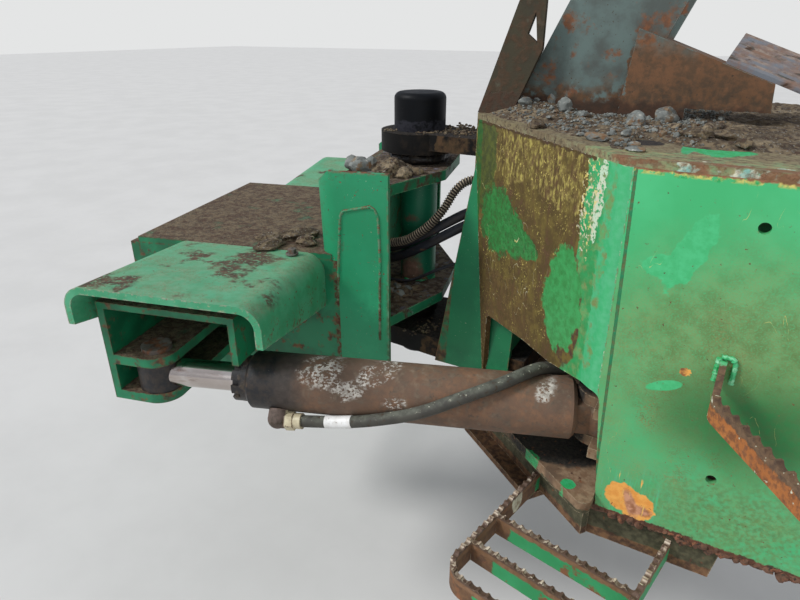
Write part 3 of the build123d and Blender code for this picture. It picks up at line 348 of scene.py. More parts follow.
def edge_effect(nodes, given):
    """Wear along the edges, broken up by noise."""
    round_normal = nodes.add("ShaderNodeBevel", {"Radius": given["Radius"]}, samples=4).outputs[0]
    flat_normal = nodes.add("ShaderNodeNewGeometry").outputs["Normal"]
    sharp = nodes.maths("SUBTRACT", 1.0, nodes.vector("DOT_PRODUCT", round_normal, flat_normal))
    rough = nodes.noise(nodes.place(), given["Grain"], 5.0)
    return nodes.maths("MULTIPLY", nodes.step(sharp, *SHARPNESS), nodes.step(rough, given["Low"], given["High"]))


def settled_effect(nodes, given):
    """What has settled on faces that look up."""
    up = nodes.add("ShaderNodeSeparateXYZ", {0: nodes.add("ShaderNodeNewGeometry").outputs["Normal"]}).outputs[2]
    rough = nodes.step(nodes.noise(nodes.place(), given["Scale"], 5.0), given["Low"], given["High"])
    return nodes.maths("MULTIPLY", nodes.step(up, *LOOKS_UP), rough)


def scratch_effect(nodes, given):
    """Thin crooked scratches along one way."""
    place = nodes.vector("MULTIPLY", nodes.place(), given["Stretch"])
    line = nodes.maths("ABSOLUTE", nodes.maths("SUBTRACT", nodes.noise(place, given["Scale"], 2.0), 0.5))
    thin = nodes.maths("SUBTRACT", 1.0, nodes.step(line, 0.0, given["Width"]))
    gaps = nodes.step(nodes.noise(nodes.place(), given["Gaps"], 2.0), *BREAKS)
    return nodes.maths("MULTIPLY", thin, gaps)


def ridge_effect(nodes, given):
    """Painted shade in the grooves of the conduit, from the number that each of its rings carries."""
    ring = nodes.add("ShaderNodeAttribute", attribute_name="groove").outputs["Fac"]
    return nodes.step(ring, given["Low"], given["High"])


NUMBER, TRIPLE = "NodeSocketFloat", "NodeSocketVector"
EFFECTS = {
    "grain": (grain_effect, {"Scale": 60.0, "Stretch": (1, 1, 1), "Low": 0.45, "High": 0.6}),
    "patch": (patch_effect, {
        "Centre": (0, 0, 0), "Size": (0.05, 9.0, 0.05), "Turn": 0.0, "Ragged": 0.8, "Grain": 60.0, "Soft": 0.06}),
    "slab": (slab_effect, {"Way": (0, 0, 1), "From": 0.0, "Ragged": 0.02, "Grain": 60.0, "Soft": 0.0015}),
    "edge": (edge_effect, {"Radius": 0.004, "Grain": 90.0, "Low": 0.42, "High": 0.56}),
    "settled": (settled_effect, {"Scale": 40.0, "Low": 0.35, "High": 0.55}),
    "scratch": (scratch_effect, {"Scale": 60.0, "Stretch": (1, 1, 1), "Width": 0.006, "Gaps": 25.0}),
    "groove": (ridge_effect, {"Low": 0.2, "High": 0.8}),
}


def new_material(name):
    """A material with its nodes and its shader's inputs."""
    material = bpy.data.materials.new(name)
    material.use_nodes = True
    return material, Nodes(material.node_tree), material.node_tree.nodes["Principled BSDF"].inputs


def new_object(name, data):
    """An object at the origin, in the scene."""
    thing = bpy.data.objects.new(name, data)
    bpy.context.scene.collection.objects.link(thing)
    return thing


def build_effect(name):
    """One shared effect as a node group that puts out a mask."""
    make, defaults = EFFECTS[name]
    tree = bpy.data.node_groups.new(name, "ShaderNodeTree")
    for label, value in defaults.items():
        kind = TRIPLE if isinstance(value, tuple) else NUMBER
        tree.interface.new_socket(label, in_out="INPUT", socket_type=kind).default_value = value
    tree.interface.new_socket("Mask", in_out="OUTPUT", socket_type=NUMBER)
    given = tree.nodes.new("NodeGroupInput").outputs
    mask = make(Nodes(tree), given)
    tree.links.new(mask, tree.nodes.new("NodeGroupOutput").inputs["Mask"])


def mask_of(nodes, effects):
    """Where all the given effects hold, as one mask."""
    mask = None
    for name, values in effects:
        if name not in bpy.data.node_groups:
            build_effect(name)
        node = nodes.tree.nodes.new("ShaderNodeGroup")
        node.node_tree = bpy.data.node_groups[name]
        for label, value in values.items():
            node.inputs[label].default_value = value
        out = node.outputs["Mask"]
        mask = out if mask is None else nodes.maths("MULTIPLY", mask, out)
    return mask


def effect(name, *labels):
    """A short way to ask for an effect: its first values in order, others by their labels."""
    return lambda *values, **more: (name, {**dict(zip(labels, values)), **more})


grain = effect("grain", "Scale", "Low", "High")
spot = effect("patch", "Centre", "Size")
slab = effect("slab", "Way", "From")
edge = effect("edge", "Radius", "Low", "High")
settled = effect("settled", "Low", "High")
scratch = effect("scratch", "Scale")
grooves = effect("groove", "Low", "High")


def patch(x, z, wide, high, y=0, deep=9, **more):
    """A spot seen from the side, through the whole width unless it is given less."""
    return spot((x, y, z), (wide, deep, high), **more)


def on_left(x, z, wide, high, **more):
    """A patch on the left side alone."""
    return patch(x, z, wide, high, y=HALF_WIDTH, deep=0.2, **more)


def tone(value, paint):
    """Scene colour of a screen colour, or of one of the paint settings, which is given by its name."""
    return tuple(getattr(paint, value)) if isinstance(value, str) else colour(*value)


class Layer:
    """One coat over what is below it: two colours, a mask, its gloss and height."""

    def __init__(self, first, second, *effects, rough=0.9, rise=0, mottle=90):
        self.first, self.second, self.effects = first, second, effects
        self.rough, self.rise, self.mottle = rough, rise, mottle


class Finish:
    """The frame's pieces that it goes on, a base coat of two colours, and the layers over it."""
    FINE = 420.0
    GLOSS_SPREAD = 0.08
    BUMP = 0.001
    BASE_SHARE, COAT_SHARE = (0.38, 0.62), (0.35, 0.65)
    LEAST_RISE = 0.6

    def __init__(self, pieces, first, second, *layers, rough=0.5, mottle=14, coarse=0.05, metallic=0, shine=0.5):
        self.pieces, self.first, self.second, self.layers = pieces, first, second, layers
        self.rough, self.mottle, self.coarse, self.metallic, self.shine = rough, mottle, coarse, metallic, shine

    def build(self, name, paint):
        """The material: each layer goes over the last by its own mask."""
        material, nodes, shader = new_material(name)
        shader["Metallic"].default_value = self.metallic
        shader["Specular IOR Level"].default_value = self.shine
        place = nodes.place()
        share = nodes.step(nodes.noise(place, self.mottle), *self.BASE_SHARE)
        base = nodes.blend(share, tone(self.first, paint), tone(self.second, paint))
        fine = nodes.noise(place, self.FINE, 3.0)
        height = nodes.maths("MULTIPLY", fine, self.coarse)
        gloss = nodes.between(fine, self.rough - self.GLOSS_SPREAD, self.rough + self.GLOSS_SPREAD)
        for layer in self.layers:
            mask = mask_of(nodes, layer.effects)
            mix = nodes.step(nodes.noise(place, layer.mottle, 5.0), *self.COAT_SHARE)
            over = nodes.blend(mix, tone(layer.first, paint), tone(layer.second, paint))
            base = nodes.blend(mask, base, over)
            gloss = nodes.between(mask, gloss, layer.rough)
            if layer.rise:
                lumps = nodes.maths("MULTIPLY", nodes.maths("ADD", mix, self.LEAST_RISE), layer.rise)
                height = nodes.maths("ADD", height, nodes.maths("MULTIPLY", mask, lumps))
        bump = nodes.add("ShaderNodeBump", {"Strength": 1.0, "Distance": self.BUMP, "Height": height})
        nodes.put(shader["Base Color"], base)
        nodes.put(shader["Roughness"], gloss)
        nodes.put(shader["Normal"], bump.outputs[0])
        return material


# Colours of the finishes from 0 to 255; the first three are settings
GREEN, RUST, SOIL = "green", "rust", "soil"
LIGHT_GREEN = (72, 190, 124)
DEEP_GREEN = (38, 160, 88)
SHADE_GREEN = (18, 122, 76)
CHASSIS_SHADE_GREEN = (12, 96, 62)
COLUMN_SHADE_GREEN = (32, 146, 100)
PALE_GREEN = (96, 170, 128)
WORN_GREEN = (56, 136, 70)
DULL_GREEN = (52, 116, 56)
HAZE, HAZE_DEEP = (118, 156, 98), (100, 132, 76)
FILM, SEAM_SHADE_OLIVE = (118, 128, 74), (92, 98, 56)
OCHRE_FILM, OCHRE_FILM_DEEP = (140, 130, 78), (106, 104, 60)
OLIVE = (118, 98, 56)
MUD_OLIVE, MUD_OLIVE_DARK, MUD_OLIVE_PALE = (106, 90, 38), (78, 62, 24), (176, 162, 84)
CAKED_OLIVE, CAKED_OLIVE_DARK = (84, 80, 58), (58, 56, 38)
BROWN, BROWN_DARK = (116, 84, 56), (72, 50, 36)
RUST_BRIGHT = (162, 98, 48)
SOIL_LIGHT, SOIL_DARK = (146, 130, 104), (66, 56, 44)
CHIP, CHIP_YELLOW = (206, 204, 180), (216, 196, 108)
PRIMER, PRIMER_PINK = (238, 172, 84), (206, 150, 118)
BLACK, BLACK_BROWN = (20, 21, 25), (48, 40, 34)
GREY_BLUE, GREY_DARK = (108, 128, 124), (74, 82, 78)

# Directions, and places that the finishes use: all ahead of the nose's seam, what is wiped clean there by centres
# and half sizes, the dark inside of the nose, where the ram's coats start from its tail, and its flecks of paint
# by centre, half size and how much of it has gone
UP, DOWN, LEFT = (0, 0, 1), (0, 0, -1), (0, 1, 0)
FORWARD, BACKWARD = (1, 0, 0), (-1, 0, 0)
AHEAD = slab(FORWARD, 0.385, Ragged=0.016)
WIPED = [
    ((0.566, 0.094), (0.046, 0.054)), ((0.525, 0.086), (0.034, 0.036)), ((0.494, 0.082), (0.026, 0.022)),
    ((0.474, 0.078), (0.016, 0.012)),
]
UNDER_PORT = spot((0.385, 0.262, -0.24), (0.085, 0.062, 9), Ragged=0.5, Grain=30, Soft=0.1)
RUSTY_TO, OILY_FROM, BLACK_FROM, ELBOW = 0.30, 0.490, 0.530, 0.515
FLECKS = [
    ((0.734, 0.461, -0.102), (0.034, 0.05, 0.020), 0.50), ((0.684, 0.463, -0.125), (0.022, 0.05, 0.014), 0.48),
    ((0.670, 0.453, -0.117), (0.016, 0.05, 0.012), 0.48), ((0.607, 0.4365, -0.134), (0.018, 0.05, 0.010), 0.54),
    ((0.654, 0.433, -0.103), (0.020, 0.05, 0.012), 0.52), ((0.637, 0.414, -0.097), (0.018, 0.05, 0.009), 0.54),
    ((0.394, 0.335, -0.103), (0.014, 0.05, 0.010), 0.44),
]

FINISHES = {}


def finish(name, *coats, **values):
    FINISHES[name] = Finish(*coats, **values)


# Every finish by its material's name. Lengths and places are in metres; a layer's effects are multiplied.

# Side panels: bright green under a dirt film, touched up, bare and chipped, with painted shade on the lower rear, a
# painted shadow below the upper step and painted shade in the fold's groove
finish("panel_green", ["side_panel_left", "side_panel_right"], GREEN, LIGHT_GREEN,
    # painted shade: the lower rear of the panel is a little darker, and the upper front keeps the lighter lit green
    Layer((60, 172, 108), (72, 178, 118), slab((-0.4, 0, -1), 0, Ragged=0.2, Grain=9, Soft=0.12), rough=0.5,
        mottle=20),
    Layer(HAZE, (104, 160, 106), slab((-0.45, 0, -1), -0.2, Ragged=0.22, Grain=8, Soft=0.12), grain(11, 0.34, 0.62),
        grain(420, 0.2, 0.7), rough=0.8, mottle=60),
    Layer(HAZE, HAZE_DEEP, on_left(0.16, 0.02, 0.15, 0.14, Soft=0.6, Grain=16), grain(420, 0.16, 0.6), rough=0.85,
        mottle=40),
    Layer(OCHRE_FILM, OCHRE_FILM_DEEP, on_left(0.2, -0.05, 0.12, 0.17, Soft=0.6, Grain=14), grain(14, 0.46, 0.66),
        grain(460, 0.44, 0.66), rough=0.85, mottle=120),
    Layer(HAZE_DEEP, (84, 132, 80), on_left(0.1, -0.215, 0.12, 0.07, Soft=0.6, Grain=24), grain(160, 0.3, 0.7),
        rough=0.8),
    # painted shadow of the upper step: a darker green patch below it
    Layer((30, 112, 54), (50, 104, 52), on_left(0.125, -0.06, 0.1, 0.06, Soft=0.7, Grain=20), rough=0.7),
    Layer(GREEN, LIGHT_GREEN, on_left(0.232, 0.165, 0.018, 0.055, Turn=0.35, Ragged=1.1), rough=0.4),
    Layer(GREEN, LIGHT_GREEN, on_left(0.256, 0.14, 0.03, 0.016, Ragged=1.1), rough=0.4),
    Layer(LIGHT_GREEN, GREEN, on_left(0.231, -0.026, 0.023, 0.0075, Turn=-0.4, Ragged=0.5), rough=0.35, rise=0.1),
    # painted shade in the groove of the fold at the nose's seam: a thin dark green line, also pressed in as a groove
    Layer(SHADE_GREEN, SEAM_SHADE_OLIVE, on_left(0.3065, 0.09, 0.0022, 0.4, Turn=-0.028, Ragged=0.5), rough=0.6, rise=-0.6),
    Layer(LIGHT_GREEN, PALE_GREEN, on_left(0.243, -0.225, 0.05, 0.045, Turn=-0.2, Soft=0.4),
        grain(150, 0.5, 0.66, Stretch=(2, 1, 0.15)), rough=0.6),
    Layer(PRIMER, (226, 150, 66), on_left(0.256, -0.231, 0.024, 0.026, Turn=-0.35, Ragged=0.5, Grain=150, Soft=0.05),
        rough=0.7, rise=-0.15),
    Layer(PRIMER, (226, 150, 66), on_left(0.234, -0.24, 0.026, 0.026, Turn=-0.35, Ragged=0.5, Grain=150, Soft=0.05),
        rough=0.7, rise=-0.15),
    Layer(PRIMER_PINK, (170, 116, 84), on_left(0.243, -0.238, 0.008, 0.024, Turn=-0.35, Ragged=1, Grain=160,
        Soft=0.3), rough=0.7),
    Layer(PRIMER_PINK, (150, 96, 62), on_left(0.228, -0.246, 0.016, 0.009, Ragged=1.2, Grain=200, Soft=0.3),
        rough=0.7),
    Layer(PRIMER, CHIP_YELLOW, on_left(0.246, -0.225, 0.036, 0.04, Turn=-0.35, Soft=0.1),
        grain(120, 0.6, 0.65, Stretch=(2, 1, 0.12)), rough=0.7),
    Layer(CHIP_YELLOW, (150, 150, 60), on_left(0.309, -0.222, 0.006, 0.046, Ragged=1.6, Grain=160),
        grain(150, 0.4, 0.5, Stretch=(1, 1, 0.4)), rough=0.7),
    Layer(RUST, PRIMER, on_left(0.21, 0.002, 0.007, 0.006, Ragged=1.2, Grain=250)),
    Layer(BROWN_DARK, RUST, grain(170, 0.675, 0.7), rise=-0.1),
    Layer((170, 206, 140), CHIP_YELLOW, scratch(26, Stretch=(1, 1, 0.35), Width=0.0025, Gaps=12),
        grain(9, 0.52, 0.58), grain(90, 0.4, 0.6), rough=0.6),
    Layer(CHIP_YELLOW, DEEP_GREEN, slab(UP, 0.2535, Ragged=0.01, Grain=90), grain(120, 0.44, 0.5), rough=0.8,
        rise=-0.1),
    Layer(BROWN, (158, 106, 78), slab(UP, 0.2575, Ragged=0.01, Grain=110), rise=-0.25),
    Layer((104, 62, 44), BROWN_DARK, slab(DOWN, 0.262, Ragged=0.016, Grain=90), rough=0.95, rise=0.8),
    Layer(BROWN_DARK, RUST, edge(0.003, 0.5, 0.6)),
    rough=0.42, mottle=6)
# Nose plates: green near the seam, olive dirt ahead of it
finish("nose_green", ["nose_plate_left", "nose_plate_right", "nose_cap"], (50, 168, 104), (40, 148, 88),
    Layer((60, 172, 110), (80, 178, 124), slab(BACKWARD, -0.346, Ragged=0.012), rough=0.4),
    Layer((44, 150, 84), (52, 138, 74), patch(0.362, 0.05, 0.016, 0.14, Ragged=0.9), rough=0.6),
    Layer((96, 156, 92), FILM, grain(60, 0.44, 0.66), slab(FORWARD, 0.335, Ragged=0.03), rough=0.8),
    Layer(MUD_OLIVE, MUD_OLIVE_DARK, slab((1, 0, 0.02), 0.383, Ragged=0.04, Grain=26), rise=0.35, mottle=50),
    Layer(MUD_OLIVE, BROWN_DARK, patch(0.385, 0.02, 0.024, 0.085, Ragged=0.9, Grain=30), rise=0.3),
    Layer(MUD_OLIVE_DARK, (88, 62, 38), AHEAD, grain(42, 0.42, 0.66, Stretch=(1, 1, 0.3)), rise=0.2),
    Layer(MUD_OLIVE_PALE, OLIVE, slab(UP, 0.165, Ragged=0.12, Grain=14), AHEAD,
        grain(150, 0.42, 0.6, Stretch=(1, 1, 0.4)), grain(36, 0.36, 0.58), rise=0.3),
    Layer(MUD_OLIVE_PALE, CHIP_YELLOW, AHEAD, grain(260, 0.58, 0.66), grain(30, 0.44, 0.6), rise=0.2),
    Layer((84, 92, 34), (62, 70, 30), patch(0.615, 0.2, 0.032, 0.1, Ragged=0.9), rough=0.8),
    Layer((108, 74, 46), MUD_OLIVE_DARK, slab(DOWN, 0, Ragged=0.05), slab(FORWARD, 0.46, Ragged=0.05, Soft=0.03),
        grain(90, 0.3, 0.7), rise=0.2),
    Layer((62, 156, 86), (54, 132, 66), patch(0.398, 0.035, 0.036, 0.085, Ragged=1.1, Grain=40, Soft=0.05), rough=0.5,
        rise=-0.2),
    *[Layer(DULL_GREEN, (66, 84, 42), patch(x, z, wide * 1.12, high * 1.12, Ragged=1.1, Grain=46, Soft=0.05),
        rough=0.6, rise=-0.3) for (x, z), (wide, high) in WIPED],
    *[Layer(WORN_GREEN, DULL_GREEN, patch(x, z, wide, high, Ragged=1.2, Grain=60, Soft=0.03), grain(150, 0.3, 0.56),
        rough=0.5, rise=-0.2) for (x, z), (wide, high) in WIPED],
    Layer(CHIP, (188, 214, 186), patch(0.3555, 0.205, 0.007, 0.06, Ragged=2.4, Grain=80, Turn=0.05),
        grain(160, 0.4, 0.48), rough=0.7, rise=-0.2),
    Layer(CHIP_YELLOW, CHIP, patch(0.372, 0.2, 0.014, 0.08, Ragged=1.4), grain(190, 0.52, 0.58), rough=0.7,
        rise=-0.1),
    Layer(CHIP_YELLOW, CHIP, slab(FORWARD, 0.39), scratch(22, Stretch=(1, 1, 0.5), Width=0.003, Gaps=14), rough=0.7),
    Layer(BROWN_DARK, MUD_OLIVE_DARK, slab(UP, 0.256, Ragged=0.014), slab(FORWARD, 0.37, Ragged=0.02), rough=0.95,
        rise=0.5),
    Layer((58, 100, 40), (40, 92, 44), patch(0.636, 0.02, 0.011, 0.3, Ragged=0.9), grain(50, 0.3, 0.5), rough=0.55),
    Layer(CHIP, BROWN, edge(0.003, 0.5, 0.58, Grain=140), rough=0.8),
    rough=0.45, mottle=16)
# Deck: soil and bare ground metal, with green showing in two places
finish("deck_soil", ["frame_deck"], (126, 114, 84), SOIL,
    Layer((132, 128, 98), SOIL, grain(30, 0.42, 0.6), rough=0.95, rise=0.5, mottle=140),
    Layer(SOIL_DARK, SOIL, grain(160, 0.52, 0.62), rough=0.95, rise=0.4),
    Layer((120, 146, 104), (148, 140, 100), slab(LEFT, 0.29, Ragged=0.05), grain(150, 0.4, 0.6, Stretch=(0.3, 1, 1)),
        rough=0.8),
    Layer(DEEP_GREEN, (70, 168, 118), spot((0.266, 0.2, 0.27), (0.01, 0.1, 9), Ragged=0.6, Grain=80), rough=0.6),
    Layer(DEEP_GREEN, (60, 176, 116), spot((0.226, 0.235, 0.27), (0.036, 0.06, 9), Ragged=0.9, Grain=40), rough=0.6),
    Layer(BLACK_BROWN, BLACK, spot((0.322, 0.235, 0.27), (0.024, 0.022, 9), Ragged=0.3, Grain=40)),
    Layer((126, 180, 168), CHIP, slab(LEFT, 0.335, Ragged=0.03), grain(60, 0.5, 0.6),
        slab(BACKWARD, -0.26, Ragged=0.05), rough=0.7),
    Layer(BROWN, (132, 96, 70), slab(LEFT, 0.338, Ragged=0.02), grain(40, 0.42, 0.56), rise=-0.2),
    rough=0.9, mottle=18, coarse=0.3)
# Spine gussets, diaphragm and bulkhead: a dark green that is painted shade, with soil and chips
finish("gusset_green", ["spine_left", "spine_right", "spine_diaphragm", "frame_bulkhead"], SHADE_GREEN, (14, 110, 70),
    Layer((28, 134, 84), SHADE_GREEN, grain(12, 0.5, 0.7), rough=0.5),
    Layer(BROWN, SOIL_DARK, slab(FORWARD, 0.668, Ragged=0.012, Grain=120), grain(40, 0.4, 0.6)),
    Layer(CHIP, PALE_GREEN, grain(330, 0.69, 0.71), rough=0.8),
    Layer(BROWN, RUST, edge(0.004), rise=-0.1),
    mottle=9)
# Column sides of the front frame: even green, painted darker as the shade of the skip above them, chipped along the
# edges
finish("column_green", ["column_left", "column_right"], COLUMN_SHADE_GREEN, (26, 138, 92),
    Layer((40, 156, 108), COLUMN_SHADE_GREEN, grain(10, 0.5, 0.66), rough=0.5),
    Layer((64, 110, 74), COLUMN_SHADE_GREEN, grain(26, 0.5, 0.7), grain(220, 0.44, 0.62), rough=0.7),
    Layer(BROWN, SOIL_DARK, grain(150, 0.66, 0.68), rise=-0.1),
    Layer(CHIP, PALE_GREEN, grain(300, 0.69, 0.71), rough=0.8),
    Layer((120, 134, 112), BROWN, edge(0.007, 0.42, 0.52, Grain=70), rise=-0.1),
    Layer(BROWN, BROWN_DARK, slab(DOWN, 0.02, Ragged=0.12), edge(0.012, 0.4, 0.5), rough=0.95),
    Layer(BROWN_DARK, RUST, settled(0.35, 0.5), rough=0.95, rise=0.8),
    mottle=8)
# Outriggers: lighter green, dusty and worn over the bend
finish("outrigger_green", ["outrigger_left", "outrigger_right"], (78, 164, 122), (60, 150, 106),
    Layer((106, 160, 124), (92, 152, 112), settled(0.2, 0.7, Scale=14), rough=0.75),
    Layer((126, 140, 108), (104, 124, 90), settled(0.42, 0.6, Scale=22), grain(360, 0.36, 0.66), rough=0.85),
    Layer((104, 104, 74), BROWN, grain(210, 0.5, 0.62), grain(30, 0.46, 0.62), slab(DOWN, 0, Ragged=0.03, Soft=0.02),
        rise=-0.1),
    Layer(BROWN, (96, 70, 52), grain(140, 0.66, 0.68), rise=-0.1),
    Layer((96, 74, 56), SOIL_DARK, settled(0.55, 0.62, Scale=9), grain(120, 0.34, 0.5), rough=0.95, rise=0.4),
    Layer(BROWN, (120, 116, 98), slab(DOWN, 0.07, Ragged=0.04, Grain=60, Soft=0.01), grain(90, 0.46, 0.62),
        rough=0.95, rise=0.3),
    Layer((160, 186, 150), (180, 170, 130), grain(190, 0.62, 0.68), edge(0.03, 0.2, 0.4), rough=0.8),
    Layer(BROWN, (168, 170, 150), edge(0.005, 0.45, 0.58)),
    rough=0.55, mottle=20)
# Chassis sides, deck and end plate, head back and ram bracket: dark green that is painted shade under the skip and the
# outrigger beam, with soil settled on it
finish("chassis_green", ["chassis_side_left", "chassis_side_right", "chassis_deck", "chassis_end_plate", "head_back",
    "ram_bracket"], (20, 124, 82), CHASSIS_SHADE_GREEN,
    Layer(BROWN, SOIL_DARK, grain(40, 0.54, 0.66), rise=0.2),
    Layer(BROWN_DARK, SOIL, settled(0.22, 0.42, Scale=18), rough=0.95, rise=1, mottle=70),
    Layer(SOIL_DARK, (112, 98, 80), settled(0.5, 0.6, Scale=160), rough=0.95, rise=0.8),
    Layer(RUST, BROWN_DARK, edge(0.005)),
    mottle=12)
# Head plates: green edges under soil, with pale scratches; their green is painted dark as the shade of the skip over
# the front frame
finish("head_green", ["head_plate_upper", "head_plate_lower"], (24, 116, 78), (18, 96, 66),
    Layer(SOIL_DARK, BROWN_DARK, grain(30, 0.5, 0.62), rise=0.3),
    Layer(SOIL_DARK, BROWN_DARK, settled(0.2, 0.36), rough=0.95, rise=1.4, mottle=150),
    Layer(SOIL, (110, 96, 82), settled(0.44, 0.56, Scale=70), rough=0.95, rise=1, mottle=150),
    Layer((86, 84, 96), (122, 116, 120), settled(0.58, 0.66, Scale=60), rough=0.95, rise=0.8),
    Layer((150, 178, 176), (110, 160, 146), scratch(34, Width=0.006, Gaps=20), rough=0.7),
    Layer(BROWN, PALE_GREEN, edge(0.004)),
    rough=0.55)
# Pivot tube: green painted dark as the shade of the skip over the front frame, with brown stains and soil below
finish("tube_green", ["pivot_tube"], (24, 122, 88), (18, 104, 74),
    Layer((118, 86, 72), (96, 74, 60), spot((0.8, 0.05, 0.04), (9, 0.012, 0.014), Ragged=1.4, Grain=90, Soft=0.3)),
    Layer((122, 92, 78), (98, 76, 62), spot((0.8, 0.05, -0.085), (9, 0.02, 0.05), Ragged=1.2, Grain=60, Soft=0.3)),
    Layer(BROWN, SOIL_DARK, slab(DOWN, 0.1, Ragged=0.05), grain(60, 0.4, 0.6)),
    Layer(CHIP, PALE_GREEN, grain(260, 0.68, 0.7), rough=0.8),
    mottle=10)
# Bottom plate and skirts: mud over paint, with green left in patches
finish("muddy_green", ["frame_bottom", "skirt_left", "skirt_right", "step_hanger", "ram_tail_bracket"], (122, 98, 74),
    (98, 78, 60),
    Layer((122, 94, 70), (144, 120, 94), grain(24, 0.4, 0.56), rough=0.95, rise=0.5),
    Layer((58, 52, 44), (34, 32, 28), UNDER_PORT, rough=0.95, rise=0.6, mottle=170),
    Layer(CAKED_OLIVE, CAKED_OLIVE_DARK, slab(DOWN, 0.255, Ragged=0.02), rise=0.2),
    Layer((30, 132, 74), DEEP_GREEN, patch(0.42, -0.24, 0.026, 0.9, y=0.3246, deep=0.016, Ragged=0.9, Grain=50),
        rough=0.5, rise=-0.4),
    Layer((52, 172, 108), DEEP_GREEN, patch(0.336, -0.24, 0.012, 0.9, y=0.3576, deep=0.012, Ragged=0.7, Grain=60),
        rough=0.5, rise=-0.4),
    Layer((110, 138, 118), (92, 112, 96), patch(0.474, -0.24, 0.022, 0.9, y=0.311, deep=0.012, Ragged=1.1, Grain=50),
        rough=0.7),
    Layer(BROWN, BROWN_DARK, slab(DOWN, 0.318, Ragged=0.014), rough=0.95, rise=0.6),
    Layer((168, 150, 124), SOIL_LIGHT, edge(0.003, 0.42, 0.52, Grain=150)),
    Layer(RUST, BROWN_DARK, grain(110, 0.62, 0.68), rough=0.95, rise=0.2),
    rough=0.9, mottle=20, coarse=0.3)
# Console foot and pedal bracket: blue-grey, rusting from below
finish("old_grey", ["console_foot", "deck_bracket"], (92, 110, 106), GREY_DARK,
    Layer(RUST, (100, 70, 52), grain(26, 0.52, 0.64), rise=-0.1),
    Layer((112, 78, 52), (88, 66, 46), slab(DOWN, -0.395, Ragged=0.08, Grain=16, Soft=0.02),
        slab(BACKWARD, -0.4, Ragged=0.03), rough=0.85, rise=-0.1),
    Layer((98, 70, 46), (72, 58, 44), slab(DOWN, -0.33, Ragged=0.08, Grain=14, Soft=0.02), grain(60, 0.38, 0.56)),
    Layer(BROWN_DARK, (58, 44, 34), slab(DOWN, -0.3, Ragged=0.04, Grain=40, Soft=0.006), rough=0.95, rise=0.3),
    Layer(SOIL_DARK, BROWN_DARK, grain(200, 0.62, 0.68)),
    Layer((150, 152, 142), GREY_BLUE, edge(0.002, 0.45, 0.6), rough=0.8),
    rough=0.6, mottle=16)
finish("pad_rubber", ["pedal_pad"], (112, 118, 126), (128, 100, 84),
    Layer((150, 134, 122), (112, 92, 80), settled(0.3, 0.6, Scale=30)),
    Layer(BROWN_DARK, GREY_DARK, grain(90, 0.54, 0.66, Stretch=(0.3, 1, 1))),
    rough=0.8, mottle=26)
# Ears and rings: black grease over brown steel
finish("greasy_steel", ["upper_ear", "lower_ear", "thrust_ring", "bearing_housing"], (22, 21, 20), (15, 14, 14),
    Layer((30, 26, 24), (46, 38, 31), grain(18, 0.46, 0.64), rough=0.7, rise=0.2),
    Layer((70, 56, 40), (84, 64, 46), slab(BACKWARD, -0.735, Ragged=0.03), grain(40, 0.4, 0.6), rough=0.85),
    Layer((40, 37, 34), (62, 58, 54), settled(0.35, 0.55), rough=0.95, rise=1, mottle=170),
    Layer((92, 80, 66), BLACK_BROWN, edge(0.003, 0.46, 0.58), rough=0.7),
    rough=0.6, coarse=0.3, shine=0.15)
finish("cap_rubber", ["top_cap", "lower_cap"], (6, 9, 14), (4, 6, 10),
    Layer((20, 26, 34), (14, 19, 26), settled(0.4, 0.7, Scale=30), rough=0.7),
    Layer((66, 66, 74), (34, 34, 40), slab(DOWN, -0.243, Ragged=0.016, Grain=60), slab(UP, 0.1),
        grain(90, 0.36, 0.6)),
    Layer((70, 68, 64), GREY_DARK, grain(260, 0.68, 0.72)),
    mottle=20, shine=0.15)
finish("hose_rubber", [], (58, 56, 50), (70, 68, 60),
    Layer((96, 98, 88), (74, 74, 66), settled(0.3, 0.55, Scale=60), rough=0.85),
    Layer(CHIP, (150, 150, 140), grain(160, 0.63, 0.67), settled(0.2, 0.4)),
    Layer(BROWN, SOIL_DARK, grain(90, 0.58, 0.68)),
    rough=0.65, mottle=30)
# Hoses across the joint: bluish black
finish("line_rubber", [], (30, 33, 42), (40, 36, 36),
    Layer((70, 74, 84), (52, 54, 62), settled(0.3, 0.6, Scale=40), rough=0.8),
    Layer(BROWN, SOIL_DARK, grain(70, 0.6, 0.7)),
    mottle=20)
# Conduit: dusty plastic, pale dust on top, and painted shade near black in its grooves
finish("conduit_plastic", [], (122, 110, 96), (100, 90, 78),
    Layer((208, 194, 170), (172, 154, 130), settled(0.2, 0.5, Scale=50), rough=0.8),
    Layer(SOIL_DARK, BROWN_DARK, grain(120, 0.58, 0.68)),
    Layer((36, 31, 27), BLACK_BROWN, grooves(0.15, 0.6)),
    rough=0.6, mottle=26)
# Upper step: orange rust, darker along its teeth
finish("step_rust", ["upper_step"], RUST_BRIGHT, (178, 112, 56),
    Layer(RUST, (120, 74, 42), grain(120, 0.42, 0.62), rise=0.3),
    Layer((84, 64, 50), (116, 90, 66), slab(UP, 0.022, Ragged=0.012, Grain=120), rough=0.85, rise=0.4),
    Layer(CHIP_YELLOW, CHIP, grain(90, 0.65, 0.67), rough=0.8, rise=0.1),
    Layer(CHIP, (150, 136, 126), settled(0.6, 0.66, Scale=80), rough=0.6),
    Layer((120, 206, 150), DEEP_GREEN, patch(0.168, 0.02, 0.03, 0.05, y=0.352, deep=0.016, Ragged=0.5, Grain=80),
        rough=0.6),
    rough=0.85, mottle=30, coarse=0.4)
